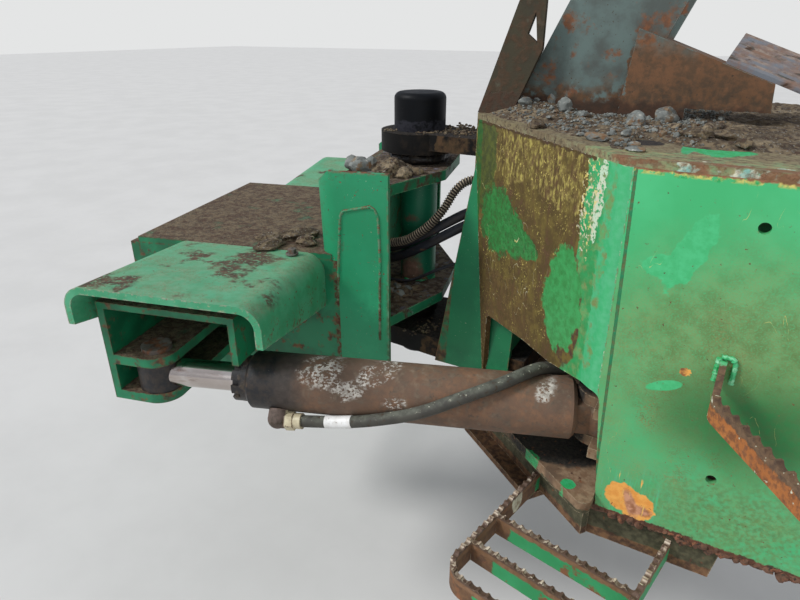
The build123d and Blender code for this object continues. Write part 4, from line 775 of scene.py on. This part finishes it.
# Lower step: green left on its bars, brown legs, bright worn teeth
finish("step_green", ["lower_step"], (36, 140, 82), (44, 150, 92),
    Layer(BROWN, (92, 66, 48), slab(FORWARD, 0.4, Ragged=0.02), rise=0.3),
    Layer(BROWN, (132, 100, 74), slab(UP, -0.305, Ragged=0.012, Grain=80), rise=0.2),
    Layer(BROWN, RUST, grain(34, 0.56, 0.64), rise=0.1),
    Layer(CHIP, SOIL_LIGHT, patch(0.414, -0.3, 0.012, 0.03, y=0.362, deep=0.016, Ragged=0.9), rough=0.8),
    Layer((98, 76, 62), BROWN_DARK, slab(UP, -0.2965, Ragged=0.004, Grain=120), rough=0.7),
    Layer((220, 206, 184), (168, 146, 124), settled(0.5, 0.56, Scale=46), slab(UP, -0.2935, Ragged=0.002), rough=0.5),
    Layer(BROWN, (150, 132, 108), edge(0.003, 0.5, 0.6), rough=0.8),
    rough=0.6, mottle=20)
# Ram barrel: brown-grey rust, white flecks of paint, black at the gland
finish("barrel_rust", ["ram_tube", "rod_eye"], (104, 82, 66), (90, 72, 58),
    Layer((118, 88, 66), (100, 76, 60), grain(9, 0.46, 0.62), rough=0.8, rise=0.1),
    Layer((126, 92, 68), (108, 82, 64), slab(RAM_BACK, -(RAM_START + RUSTY_TO), Ragged=0.2, Grain=8, Soft=0.08),
        grain(20, 0.35, 0.6), rough=0.8),
    Layer((88, 74, 62), (110, 94, 78), grain(70, 0.48, 0.66), rough=0.85, rise=0.15),
    Layer((128, 112, 94), (104, 84, 66), grain(30, 0.54, 0.7, Stretch=(1, 1, 0.4)), rough=0.85),
    Layer((62, 53, 47), BLACK_BROWN, slab(RAM_WAY, RAM_START + OILY_FROM, Ragged=0.05, Grain=30, Soft=0.02),
        rough=0.6),
    Layer(BLACK, BLACK_BROWN, slab(RAM_WAY, RAM_START + BLACK_FROM, Ragged=0.02, Grain=40, Soft=0.008), rough=0.5),
    *[Layer((204, 198, 188), (150, 142, 132), spot(centre, size, Ragged=1.5, Grain=50, Soft=0.25),
        grain(230, level - 0.03, level + 0.01, Stretch=(0.8, 0.8, 1.3)), grain(55, 0.42, 0.5), rough=0.8,
        rise=0.15) for centre, size, level in FLECKS],
    Layer((110, 104, 96), SOIL_DARK, grain(300, 0.67, 0.71)),
    Layer((140, 130, 116), BROWN, edge(0.003, 0.5, 0.6), rough=0.8),
    rough=0.75, mottle=16, coarse=0.25)
# Ram port: brown elbow and a pale plated ferrule
finish("plated_ferrule", ["ram_port"], (206, 196, 164), (184, 172, 142),
    Layer((104, 88, 80), (80, 68, 60), slab(RAM_WAY, RAM_START + ELBOW, Ragged=0.001), rough=0.8, rise=0.1),
    Layer(BROWN, SOIL_DARK, grain(90, 0.58, 0.68)),
    Layer((120, 104, 82), BROWN, edge(0.002, 0.4, 0.6), rough=0.7),
    rough=0.45, mottle=40)
finish("gland_black", ["ram_gland"], (34, 28, 26), BLACK,
    Layer((64, 52, 44), SOIL_DARK, grain(90, 0.5, 0.62), rough=0.6, rise=0.3),
    rough=0.4, mottle=30, coarse=0.3)
finish("rod_chrome", ["ram_rod"], (214, 208, 204), (188, 178, 172),
    Layer((150, 120, 108), (120, 100, 92), grain(50, 0.56, 0.7, Stretch=(0.2, 0.2, 1)), rough=0.3),
    rough=0.16, mottle=10, coarse=0.01, metallic=1)
finish("worn_steel", ["pivot_pin", "ram_tail_pin", "rod_pin_ends", "rod_pin_middle", "rear_hose_unions",
    "tail_hose_union", "head_hose_unions"], (120, 116, 110), (92, 86, 80),
    Layer(RUST, BROWN_DARK, grain(50, 0.44, 0.6), rough=0.85, rise=0.2),
    Layer(SOIL_DARK, BLACK_BROWN, grain(24, 0.5, 0.64), rough=0.8, rise=0.2),
    rough=0.45, mottle=30)
finish("strut_brown", ["deck_strut"], (58, 52, 34), (48, 44, 30),
    Layer((62, 50, 34), (76, 56, 38), grain(40, 0.42, 0.58), rise=0.3),
    Layer((80, 78, 62), SOIL_DARK, grain(20, 0.56, 0.66), rough=0.8),
    Layer(SOIL_DARK, BROWN_DARK, slab(DOWN, -0.31, Ragged=0.03), rough=0.95, rise=0.5),
    rough=0.8, mottle=20, coarse=0.3)
finish("stone", [], (126, 130, 126), (98, 102, 98),
    Layer((180, 180, 170), (138, 140, 132), grain(120, 0.54, 0.68), rough=0.85, rise=0.2),
    Layer((78, 82, 80), (92, 94, 92), grain(60, 0.54, 0.66, Stretch=(1, 0.4, 1.6)), rough=0.85),
    Layer((124, 112, 92), BROWN, grain(46, 0.52, 0.6), rough=0.95, rise=0.2),
    rough=0.8, mottle=34, coarse=0.5)
finish("soil", [], SOIL, (72, 60, 46),
    Layer(SOIL_LIGHT, (110, 98, 78), grain(16, 0.52, 0.64), rough=0.95, rise=0.4, mottle=160),
    Layer(SOIL_DARK, BROWN_DARK, grain(130, 0.5, 0.6), rough=0.95, rise=0.8),
    Layer((150, 144, 132), (118, 114, 106), grain(230, 0.58, 0.64), rise=0.8),
    rough=0.95, mottle=60, coarse=0.8)
finish("mud", [], (112, 80, 62), (84, 60, 46),
    Layer(RUST, (140, 90, 70), grain(80, 0.5, 0.62), rough=0.95, rise=0.6),
    Layer(SOIL_DARK, BLACK_BROWN, grain(140, 0.54, 0.64), rough=0.95, rise=0.5),
    rough=0.95, mottle=50, coarse=0.8)
finish("grease", [], BLACK, (30, 26, 24),
    Layer((58, 48, 40), SOIL_DARK, grain(90, 0.52, 0.64), rough=0.7, rise=0.8),
    Layer((92, 84, 74), SOIL_DARK, settled(0.5, 0.6), rise=0.4),
    rough=0.42, mottle=40, coarse=0.8)
finish("weld_green", [], (30, 134, 88), DEEP_GREEN,
    Layer((96, 140, 112), PALE_GREEN, grain(140, 0.5, 0.6), rough=0.7),
    Layer(BROWN, SOIL_DARK, grain(50, 0.54, 0.64)),
    mottle=30, coarse=0.2)
finish("pale_weld", [], (70, 184, 120), DEEP_GREEN,
    Layer((150, 216, 172), (104, 196, 140), grain(120, 0.46, 0.6), rough=0.7),
    mottle=40, coarse=0.2)
finish("blank_label", [], (232, 232, 230), (214, 212, 208),
    Layer((170, 166, 160), (140, 134, 126), grain(60, 0.55, 0.7), rough=0.7),
    Layer(BROWN, SOIL_DARK, grain(160, 0.64, 0.7)),
    rough=0.45, mottle=40)

MADE = {}


def finish_of(name, settings):
    """The material of that name, made at its first use."""
    if name not in MADE:
        MADE[name] = FINISHES[name].build(name, settings.paint).name
    return bpy.data.materials[MADE[name]]


# Pieces

def piece_of(name, mesh, body, material, smooth=True, sharp=40.0):
    """Turn a bmesh into a piece that rides on a body."""
    bmesh.ops.recalc_face_normals(mesh, faces=mesh.faces)
    for face in mesh.faces:
        face.smooth = smooth
    data = bpy.data.meshes.new(name)
    mesh.to_mesh(data)
    mesh.free()
    if smooth:
        data.set_sharp_from_angle(angle=math.radians(sharp))
    piece = new_object(name, data)
    data.materials.append(material)
    if body:
        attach(piece, body)
    return piece


def from_pivot(point):
    """A point of the rear frame, given in millimetres from the steering axis."""
    return PIVOT + Vector(point) / 1000


def from_front(point):
    """The same on the front frame, which stands turned."""
    return PIVOT + Matrix.Rotation(FRONT_TURN, 3, "Z") @ (Vector(point) / 1000)


def from_ram(distance, turn, out):
    """A point beside the ram: distance from the tail, degrees up and distance from its axis."""
    side = out * math.cos(math.radians(turn))
    across = Vector((-RAM_WAY[1], RAM_WAY[0], 0))
    up = Vector((0, 0, out * math.sin(math.radians(turn))))
    return RAM_TAIL + (Vector(RAM_WAY) * distance + across * side + up) / 1000


def smooth_line(name, points):
    """Points of the smooth spline through a cord's route."""
    curve = bpy.data.curves.new(name, "CURVE")
    curve.dimensions = "3D"
    curve.resolution_u = 24
    spline = curve.splines.new("NURBS")
    spline.points.add(len(points) - 1)
    for control, point in zip(spline.points, points):
        control.co = (*point, 1.0)
    spline.order_u = 3
    spline.use_endpoint_u = True
    holder = bpy.data.objects.new(name, curve)
    mesh = bpy.data.meshes.new_from_object(holder)
    line = [vertex.co.copy() for vertex in mesh.vertices]
    bpy.data.meshes.remove(mesh)
    bpy.data.objects.remove(holder)
    return line


def spaced(line, step):
    """The same line with its points an even step apart."""
    total = sum((b - a).length for a, b in zip(line, line[1:]))
    count = max(2, round(total / step))
    points, gone, at = [], 0.0, 0
    for distance in [total * i / count for i in range(count + 1)]:
        while at < len(line) - 2 and gone + (line[at + 1] - line[at]).length < distance:
            gone += (line[at + 1] - line[at]).length
            at += 1
        run = line[at + 1] - line[at]
        points.append(line[at] + run * min(1.0, (distance - gone) / run.length))
    return points


def stretch_of(line, start, end):
    """The part of an evenly spaced line between two distances."""
    step = (line[1] - line[0]).length
    return line[round(start / step):round(end / step) + 1]


def edges_of(verts):
    """Their edges, each once and always in the same order."""
    return list(dict.fromkeys(e for v in verts for e in v.link_edges))


def tube_along(mesh, line, radius, sides):
    """Extrude a ring along a line; radius is a number or a function of the point's number."""
    size = radius if callable(radius) else lambda i: radius
    turn = (line[1] - line[0]).to_track_quat("Z", "Y").to_matrix().to_4x4()
    place = Matrix.Translation(line[0]) @ turn
    ring = bmesh.ops.create_circle(mesh, cap_ends=True, segments=sides, radius=size(0), matrix=place)["verts"]
    edges = edges_of(ring)
    way = (line[1] - line[0]).normalized()
    for i in range(1, len(line)):
        ahead = line[min(i + 1, len(line) - 1)] - line[i - 1]
        bend = way.rotation_difference(ahead.normalized()).to_matrix().to_4x4()
        made = bmesh.ops.extrude_edge_only(mesh, edges=edges)["geom"]
        verts = [g for g in made if isinstance(g, bmesh.types.BMVert)]
        edges = [g for g in made if isinstance(g, bmesh.types.BMEdge)]
        grow = Matrix.Scale(size(i) / size(i - 1), 4)
        move = Matrix.Translation(line[i]) @ grow @ bend @ Matrix.Translation(-line[i - 1])
        bmesh.ops.transform(mesh, matrix=move, verts=verts)
        way = ahead.normalized()
    bmesh.ops.edgeloop_fill(mesh, edges=edges)


def ridged(radius, groove):
    """Radius of a corrugated tube, four points to a ridge."""
    return lambda i: radius - groove * GROOVE[i % 4]


def joint_cord(name, points, radius, body_ends, blend_ends, material, step=0.004, sides=16, groove=0.0):
    """A cord across a joint: a tube on its spline. It gives back its line."""
    line = smooth_line(name, points)
    mesh = bmesh.new()
    tube_along(mesh, spaced(line, step), ridged(radius, groove) if groove else radius, sides)
    piece = piece_of(name + "_skin", mesh, None, material, sharp=70.0)
    if groove:
        ring = piece.data.attributes.new("groove", "FLOAT", "POINT")
        for i, value in enumerate(ring.data):
            value.value = GROOVE[i // sides % 4]
    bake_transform(piece)
    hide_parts(name)
    return line


def lump(mesh, place, size, random_numbers, ragged, faces=2):
    """One rough stone or clod."""
    turn = Euler([random_numbers.uniform(0, math.tau) for _ in range(3)]).to_matrix().to_4x4()
    made = bmesh.ops.create_icosphere(mesh, subdivisions=faces, radius=1.0, matrix=turn)["verts"]
    offset = Vector([random_numbers.uniform(-50, 50) for _ in range(3)])
    for vertex in made:
        vertex.co *= 1 + ragged * noise.noise(vertex.co * 1.7 + offset)
    stretch = Matrix.Diagonal((*size, 1))
    spin = Matrix.Rotation(random_numbers.uniform(0, math.tau), 4, "Z")
    bmesh.ops.transform(mesh, matrix=Matrix.Translation(place) @ spin @ stretch, verts=made)


# The stage

class ARTICULATION_OT_stage(bpy.types.Operator):
    """Camera, floor, sky and lamps"""
    bl_idname = "articulation.stage"
    bl_label = "Stage"

    def execute(self, context):
        settings = context.scene.articulation.stage
        self.camera(context.scene, settings)
        self.sky(context.scene, settings)
        self.lamps(settings)
        self.floor(settings)
        context.scene.view_settings.view_transform = "Standard"
        return {"FINISHED"}

    def camera(self, scene, settings):
        data = bpy.data.cameras.new("camera")
        data.lens = settings.lens
        data.sensor_width = SENSOR_WIDTH
        data.clip_start = 0.01
        camera = new_object("camera", data)
        camera.location = CAMERA_PLACE
        camera.rotation_euler = Vector(CAMERA_AIM).to_track_quat("-Z", "Y").to_euler()
        scene.camera = camera

    def sky(self, scene, settings):
        world = bpy.data.worlds.new("sky")
        scene.world = world
        world.use_nodes = True
        nodes = Nodes(world.node_tree)
        back = world.node_tree.nodes["Background"]
        path = nodes.add("ShaderNodeLightPath").outputs
        seen = nodes.maths("MAXIMUM", path["Is Camera Ray"], path["Is Transmission Ray"])
        nodes.put(back.inputs["Color"], nodes.blend(seen, colour(*SKY_LIGHT), colour(*SKY_SEEN)))
        nodes.put(back.inputs["Strength"], nodes.between(seen, settings.sky, 1.0))

    def lamps(self, settings):
        for name, strength, way, size in (
                ("sun", settings.sun, SUN_WAY, SUN_WIDTH), ("fill", FILL_STRENGTH, FILL_WAY, FILL_WIDTH)):
            data = bpy.data.lights.new(name, "SUN")
            data.energy = strength
            data.angle = math.radians(size)
            lamp = new_object(name, data)
            lamp.rotation_euler = Vector(way).to_track_quat("Z", "Y").to_euler()

    def floor(self, settings):
        mesh = bmesh.new()
        place = Matrix.Translation((FLOOR_MIDDLE, 0, settings.floor_height))
        bmesh.ops.create_grid(mesh, x_segments=1, y_segments=1, size=FLOOR_SIZE, matrix=place)
        data = bpy.data.meshes.new("floor")
        mesh.to_mesh(data)
        mesh.free()
        floor = new_object("floor", data)
        material, nodes, shader = new_material("floor")
        shade = nodes.step(nodes.noise(nodes.place(), 3.0), 0.3, 0.7)
        nodes.put(shader["Base Color"], nodes.blend(shade, colour(*FLOOR_DARK), colour(*FLOOR_PALE)))
        shader["Roughness"].default_value = 0.9
        data.materials.append(material)


# The cords

class ARTICULATION_OT_cords(bpy.types.Operator):
    """Conduit, hoses and cable across the steering joint, and the ram's hose"""
    bl_idname = "articulation.cords"
    bl_label = "Cords"

    def execute(self, context):
        settings = context.scene.articulation
        sizes = settings.cords
        hose = [(x, y, z + HOSE_RISE) for x, y, z in HOSE_ROUTE]
        for name, route, radius, look, more in (
                ("loom_conduit", CONDUIT_ROUTE, sizes.conduit_radius, "conduit_plastic",
                 {"step": sizes.ridge_pitch / 4, "groove": sizes.groove}),
                ("front_hose_lower", HOSE_ROUTE, sizes.hose_radius, "line_rubber", {}),
                ("front_hose_upper", hose, sizes.hose_radius, "line_rubber", {}),
                ("thin_cable", CABLE_ROUTE, sizes.cable_radius, "line_rubber", {"sides": 10})):
            joint_cord(name, [from_pivot(p) for p in route], radius, ("front_frame", "rear_frame"),
                       [from_pivot(p) for p in JOINT_BEND], finish_of(look, settings), **more)
        self.ram_hose(settings)
        return {"FINISHED"}

    def ram_hose(self, settings):
        radius = settings.cords.ram_hose_radius
        points = [from_ram(*turn) for turn in RAM_HOSE_TURNS] + [from_pivot(p) for p in RAM_HOSE_INSIDE]
        bend = (from_ram(*RAM_HOSE_BEND[0]), from_pivot(RAM_HOSE_BEND[1]))
        line = joint_cord("ram_hose", points, radius, ("ram_barrel", "rear_frame"), bend,
                          finish_of("hose_rubber", settings))
        mesh = bmesh.new()
        wrapped = stretch_of(spaced(line, LABEL_STEP), *LABEL_ENDS)
        tube_along(mesh, wrapped, radius + LABEL_THICK, LABEL_SIDES)
        piece_of("hose_label", mesh, "ram_barrel", finish_of("blank_label", settings), sharp=60.0)


# Paint on the frame's own pieces

class ARTICULATION_OT_paint(bpy.types.Operator):
    """Paint, rust and dirt on every piece of the frame"""
    bl_idname = "articulation.paint"
    bl_label = "Paint"

    def execute(self, context):
        settings = context.scene.articulation
        bare = set(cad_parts) - set(CORD_LENGTHS)
        for name, look in FINISHES.items():
            for piece in look.pieces:
                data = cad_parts[piece].data
                data.materials.clear()
                data.materials.append(finish_of(name, settings))
                bare.discard(piece)
        if bare:
            raise RuntimeError(f"no finish for {sorted(bare)}")
        return {"FINISHED"}


# Welds and bolts

class ARTICULATION_OT_welds(bpy.types.Operator):
    """Weld beads along the joints of the plates"""
    bl_idname = "articulation.welds"
    bl_label = "Welds"

    def execute(self, context):
        settings = context.scene.articulation
        self.bead = settings.welds.bead
        self.numbers = random.Random(WELD_SEED)
        front = [[from_front((x, y, height)) for x, y in TUBE_WELD] for height in TUBE_WELD_HEIGHTS]
        self.beads("front_welds", "front_frame", front, finish_of("weld_green", settings))
        column = [[from_front((x, COLUMN_BEAD_Y, z)) for x, z in COLUMN_BEAD]]
        self.beads("column_welds", "front_frame", column, finish_of("column_green", settings), COLUMN_BEAD_SIZE)
        step = [[from_pivot(p) for p in line] for line in STEP_WELDS]
        self.beads("step_welds", "rear_frame", step, finish_of("pale_weld", settings))
        return {"FINISHED"}

    def beads(self, name, body, lines, material, size=1.0):
        mesh = bmesh.new()
        bead = self.bead * size
        for line in lines:
            points = spaced(line, bead * BEAD_STEP)
            sizes = [bead * self.numbers.uniform(*BEAD_SWELL) * (BEAD_DIP if i % 3 else 1.0)
                     for i in range(len(points))]
            tube_along(mesh, points, sizes.__getitem__, 8)
        piece_of(name, mesh, body, material)


class ARTICULATION_OT_bolts(bpy.types.Operator):
    """Bolts on the tube and the outrigger"""
    bl_idname = "articulation.bolts"
    bl_label = "Bolts"

    def execute(self, context):
        settings = context.scene.articulation
        across = settings.welds.bolt
        aside = Matrix.Rotation(FRONT_TURN + BOLT_TURN, 4, "Z") @ Matrix.Rotation(math.pi / 2, 4, "Y")
        mesh = bmesh.new()
        reach = Matrix.Rotation(BOLT_TURN, 3, "Z") @ Vector((BOLT_OUT, 0, 0))
        for height in BOLT_HEIGHTS:
            self.bolt(mesh, Matrix.Translation(from_front((reach.x, reach.y, height))) @ aside, across * 0.7)
        self.bolt(mesh, Matrix.Translation(from_front(OUTRIGGER_BOLT)), across)
        material = finish_of("worn_steel", settings)
        piece_of("front_bolts", mesh, "front_frame", material, sharp=30.0)
        return {"FINISHED"}

    def bolt(self, mesh, place, across):
        """A washer and a six-sided head with its edges taken off."""
        tall = across * 0.5
        bmesh.ops.create_cone(mesh, cap_ends=True, segments=24, radius1=across * 0.72, radius2=across * 0.70,
                              depth=across * 0.14, matrix=place @ Matrix.Translation((0, 0, across * 0.06)))
        made = bmesh.ops.create_cone(mesh, cap_ends=True, segments=6, radius1=across / 2, radius2=across / 2,
                                     depth=tall, matrix=place @ Matrix.Translation((0, 0, across * 0.12 + tall / 2)))
        top = place.to_3x3() @ Vector((0, 0, 1))
        edges = [e for e in edges_of(made["verts"])
                 if all((v.co - place.translation).dot(top) > tall for v in e.verts)]
        bmesh.ops.bevel(mesh, geom=edges, offset=across * 0.06, offset_type="OFFSET", segments=2, profile=0.5,
                        affect="EDGES", material=-1)


# Soil and stones, in metres

# Where the deck is bare: its left rim, and behind the seam; each with its width, how ragged it is, and its pitch
RIM_BARE, RIM_RAGGED, RIM_PITCH = 0.012, 0.02, 14
REAR_BARE, REAR_RAGGED, REAR_PITCH, REAR_END = 0.075, 0.05, 9, 0.34
# The soil's fading edge, how far its sheet goes into the deck, the heap's middle and spread, and its fine lumps
FADE = 0.05
SUNK = 0.002
HEAP_X, HEAP_LONG, HEAP_WIDE = 0.60, 0.10, 0.14
FINE_LUMPS = 0.0022
ROUGH_PITCH, FINE_PITCH = 22, 120
# The soil's sheet: its cells, its depth in the deck, its margin, and the inset where it ends
SOIL_CELLS = (150, 170)
SHEET_LOW, SHEET_MARGIN, SHEET_BORDER = 0.004, 0.004, 0.003
# Gravel: where it falls, its sizes, the least soil and inset under a stone, and the share of large ones
GRAVEL_X, GRAVEL_Y = (0.24, NOSE_TIP[0] - 0.01), (-0.3, 0.34)
GRAVEL_SIZES = (0.0012, 0.0036)
GRAVEL_SOIL, GRAVEL_INSET = 0.001, 0.012
LARGE_SHARE = 0.08


def deck_inset(x, y):
    """How far a point of the deck lies inside its outline."""
    side = abs(y)
    run = Vector((NOSE_TIP[0] - SEAM_X, NOSE_TIP[1] - HALF_WIDTH)).normalized()
    nose = -(x - SEAM_X) * -run.y - (side - HALF_WIDTH) * run.x
    return min(HALF_WIDTH - side, nose, NOSE_TIP[0] - x, x)


def soil_height(x, y, dirt):
    """Height of the soil over the deck, below zero where the deck is bare."""
    inset = deck_inset(x, y)
    if y > 0:
        inset -= RIM_BARE + RIM_RAGGED * noise.noise(Vector((x * RIM_PITCH, y * RIM_PITCH, 3)))
        if x < REAR_END:
            inset -= REAR_BARE + REAR_RAGGED * noise.noise(Vector((x * REAR_PITCH, y * REAR_PITCH, 7)))
    cover = max(0.0, min(1.0, inset / FADE))
    heap = math.exp(-((x - HEAP_X) / HEAP_LONG) ** 2 - (y / HEAP_WIDE) ** 2) * dirt.heap_height
    rough = noise.fractal(Vector((x * ROUGH_PITCH, y * ROUGH_PITCH, 0)), 1.0, 2.0, 4)
    fine = noise.fractal(Vector((x * FINE_PITCH, y * FINE_PITCH, 5)), 1.0, 2.0, 2)
    depth = dirt.soil_depth * (0.6 + 0.5 * rough) + heap + FINE_LUMPS * fine
    return depth * cover - SUNK * (1 - cover)


class ARTICULATION_OT_soil(bpy.types.Operator):
    """Soil on the deck"""
    bl_idname = "articulation.soil"
    bl_label = "Soil"

    def execute(self, context):
        settings = context.scene.articulation
        mesh = bmesh.new()
        middle = NOSE_TIP[0] / 2
        wide = Matrix.Diagonal((middle, HALF_WIDTH - SHEET_MARGIN, 1, 1))
        place = Matrix.Translation((middle, 0, DECK - SHEET_LOW)) @ wide
        bmesh.ops.create_grid(mesh, x_segments=SOIL_CELLS[0], y_segments=SOIL_CELLS[1], size=1.0, matrix=place)
        out = [f for f in mesh.faces if deck_inset(*f.calc_center_median().xy) < SHEET_BORDER]
        bmesh.ops.delete(mesh, geom=out, context="FACES")
        made = bmesh.ops.extrude_face_region(mesh, geom=mesh.faces[:])["geom"]
        for vertex in (g for g in made if isinstance(g, bmesh.types.BMVert)):
            vertex.co.z = DECK + max(soil_height(vertex.co.x, vertex.co.y, settings.dirt), -SUNK)
        piece_of("deck_soil", mesh, "rear_frame", finish_of("soil", settings), sharp=80.0)
        return {"FINISHED"}


class ARTICULATION_OT_stones(bpy.types.Operator):
    """Stones and gravel on the deck"""
    bl_idname = "articulation.stones"
    bl_label = "Stones"

    def execute(self, context):
        settings = context.scene.articulation
        numbers = random.Random(settings.dirt.seed)
        for name, lumps, look, rise, ragged, sharp in (
                ("deck_stones", DECK_STONES, "stone", 0.6, 0.3, 30.0),
                ("deck_clods", DECK_CLODS, "soil", 0.3, 0.5, 50.0)):
            mesh = bmesh.new()
            for x, y, wide, deep, high in lumps:
                height = DECK + max(soil_height(x, y, settings.dirt), 0) + high * rise
                lump(mesh, (x, y, height), (wide, deep, high), numbers, faces=3, ragged=ragged)
            piece_of(name, mesh, "rear_frame", finish_of(look, settings), sharp=sharp)
        mesh = bmesh.new()
        for _ in range(settings.dirt.gravel):
            x = numbers.uniform(*GRAVEL_X)
            y = numbers.uniform(*GRAVEL_Y)
            height = soil_height(x, y, settings.dirt)
            if height < GRAVEL_SOIL or deck_inset(x, y) < GRAVEL_INSET:
                continue
            size = numbers.uniform(*GRAVEL_SIZES)
            if numbers.random() < LARGE_SHARE:
                size *= 2
            shape = (size, size * numbers.uniform(0.6, 1), size * numbers.uniform(0.5, 0.9))
            lump(mesh, (x, y, DECK + height + size * 0.3), shape, numbers, faces=1, ragged=0.5)
        piece_of("deck_gravel", mesh, "rear_frame", finish_of("stone", settings), smooth=False)
        return {"FINISHED"}


# The mud's run along the panel's foot, its inset, its sizes and how far it hangs
MUD_START, MUD_END, MUD_INSET = 0.018, 0.316, 0.005
MUD_SIZES, MUD_HANG = (0.004, 0.0095), (-0.004, 0.005)
# The grease collar's height in millimetres, its radius and thickness, and the height and pitch of its lumps
COLLAR_HEIGHT, COLLAR_OUT, COLLAR_THICK = -100, 0.055, 0.009
COLLAR_SIDES, COLLAR_STEPS = 10, 120
WAVE, WAVE_PITCH, CRUMB, CRUMB_PITCH = 0.006, 40, 0.002, 160


class ARTICULATION_OT_dirt(bpy.types.Operator):
    """Clods and stones on the head, the ears and the outrigger, and mud under the panels"""
    bl_idname = "articulation.dirt"
    bl_label = "Dirt"

    def execute(self, context):
        settings = context.scene.articulation
        self.numbers = random.Random(settings.dirt.seed + 1)
        soil, stone = finish_of("soil", settings), finish_of("stone", settings)
        self.strew("head_soil", "front_frame", soil, from_front, HEAD_CLODS, ragged=0.34)
        self.strew("head_stones", "front_frame", stone, from_front, HEAD_STONES, ragged=0.28)
        grit = []
        for x, y, z, spread, count in EAR_GRIT:
            for _ in range(count):
                size = self.numbers.uniform(*GRIT_SIZES)
                middle = (x + self.numbers.gauss(0, spread), y + self.numbers.gauss(0, spread), z)
                grit.append((*middle, size, size * 0.8, size * 0.6))
        self.strew("ear_grit", "rear_frame", soil, from_pivot, grit, faces=1)
        self.strew("chassis_soil", "front_frame", soil, from_front, CHASSIS_CLODS)
        self.panel_mud(settings)
        self.collar(settings)
        return {"FINISHED"}

    def strew(self, name, body, material, place, lumps, faces=3, ragged=0.4):
        mesh = bmesh.new()
        for x, y, z, wide, deep, high in lumps:
            middle = place((x, y, z + high * 0.4))
            lump(mesh, middle, (wide / 1000, deep / 1000, high / 1000), self.numbers, faces=faces, ragged=ragged)
        piece_of(name, mesh, body, material, sharp=34.0)

    def panel_mud(self, settings):
        """Clods of mud that hang on the lower edge of both side panels."""
        mesh = bmesh.new()
        for side in (1, -1):
            x = MUD_START
            while x < MUD_END:
                size = self.numbers.uniform(*MUD_SIZES)
                height = PANEL_FOOT - self.numbers.uniform(*MUD_HANG)
                place = (x, side * (HALF_WIDTH - MUD_INSET - size * 0.2), height)
                lump(mesh, place, (size * 1.4, size * 0.9, size), self.numbers, ragged=0.5)
                x += size * 0.9
        piece_of("panel_mud", mesh, "rear_frame", finish_of("mud", settings))

    def collar(self, settings):
        """Grease pressed out between the ear and the head."""
        mesh = bmesh.new()
        place = Matrix.Translation(from_front((0, 0, COLLAR_HEIGHT)))
        ring = [mesh.verts.new(Vector((COLLAR_OUT + COLLAR_THICK * math.cos(a), 0, COLLAR_THICK * math.sin(a))))
                for a in [math.tau * i / COLLAR_SIDES for i in range(COLLAR_SIDES)]]
        edges = [mesh.edges.new((ring[i - 1], ring[i])) for i in range(COLLAR_SIDES)]
        bmesh.ops.spin(mesh, geom=ring + edges, cent=(0, 0, 0), axis=UP, angle=math.tau, steps=COLLAR_STEPS,
                       use_merge=True)
        bmesh.ops.remove_doubles(mesh, verts=mesh.verts, dist=0.00001)
        for vertex in mesh.verts:
            out = Vector((vertex.co.x, vertex.co.y, 0)).normalized()
            wave, crumb = noise.noise(vertex.co * WAVE_PITCH), noise.noise(vertex.co * CRUMB_PITCH)
            vertex.co += out * WAVE * wave + out * CRUMB * crumb
        bmesh.ops.transform(mesh, matrix=place, verts=mesh.verts)
        piece_of("grease_collar", mesh, "front_frame", finish_of("grease", settings), sharp=60.0)


class ARTICULATION_PT_sidebar(bpy.types.Panel):
    bl_label = "Steering articulation"
    bl_idname = "ARTICULATION_PT_sidebar"
    bl_space_type = "VIEW_3D"
    bl_region_type = "UI"
    bl_category = "Articulation"

    def draw(self, context):
        settings = context.scene.articulation
        for name in ("paint", "cords", "dirt", "welds", "stage"):
            group = getattr(settings, name)
            box = self.layout.box()
            for key in group.bl_rna.properties.keys():
                if key not in ("rna_type", "name"):
                    box.prop(group, key)
        for operator in OPERATORS:
            self.layout.operator(operator.bl_idname)


OPERATORS = [
    ARTICULATION_OT_stage,
    ARTICULATION_OT_cords,
    ARTICULATION_OT_paint,
    ARTICULATION_OT_welds,
    ARTICULATION_OT_bolts,
    ARTICULATION_OT_soil,
    ARTICULATION_OT_stones,
    ARTICULATION_OT_dirt,
]
CLASSES = [
    PaintSettings, CordSettings, DirtSettings, WeldSettings, StageSettings, ArticulationSettings,
    *OPERATORS, ARTICULATION_PT_sidebar,
]


def register():
    for cls in CLASSES:
        bpy.utils.register_class(cls)
    bpy.types.Scene.articulation = PointerProperty(
        type=ArticulationSettings, name="Articulation", description="Sizes and colours of the articulation")


def unregister():
    del bpy.types.Scene.articulation
    for cls in reversed(CLASSES):
        bpy.utils.unregister_class(cls)


def main():
    register()
    for operator in OPERATORS:
        group, name = operator.bl_idname.split(".")
        getattr(getattr(bpy.ops, group), name)()


if __name__ == "__main__":
    main()
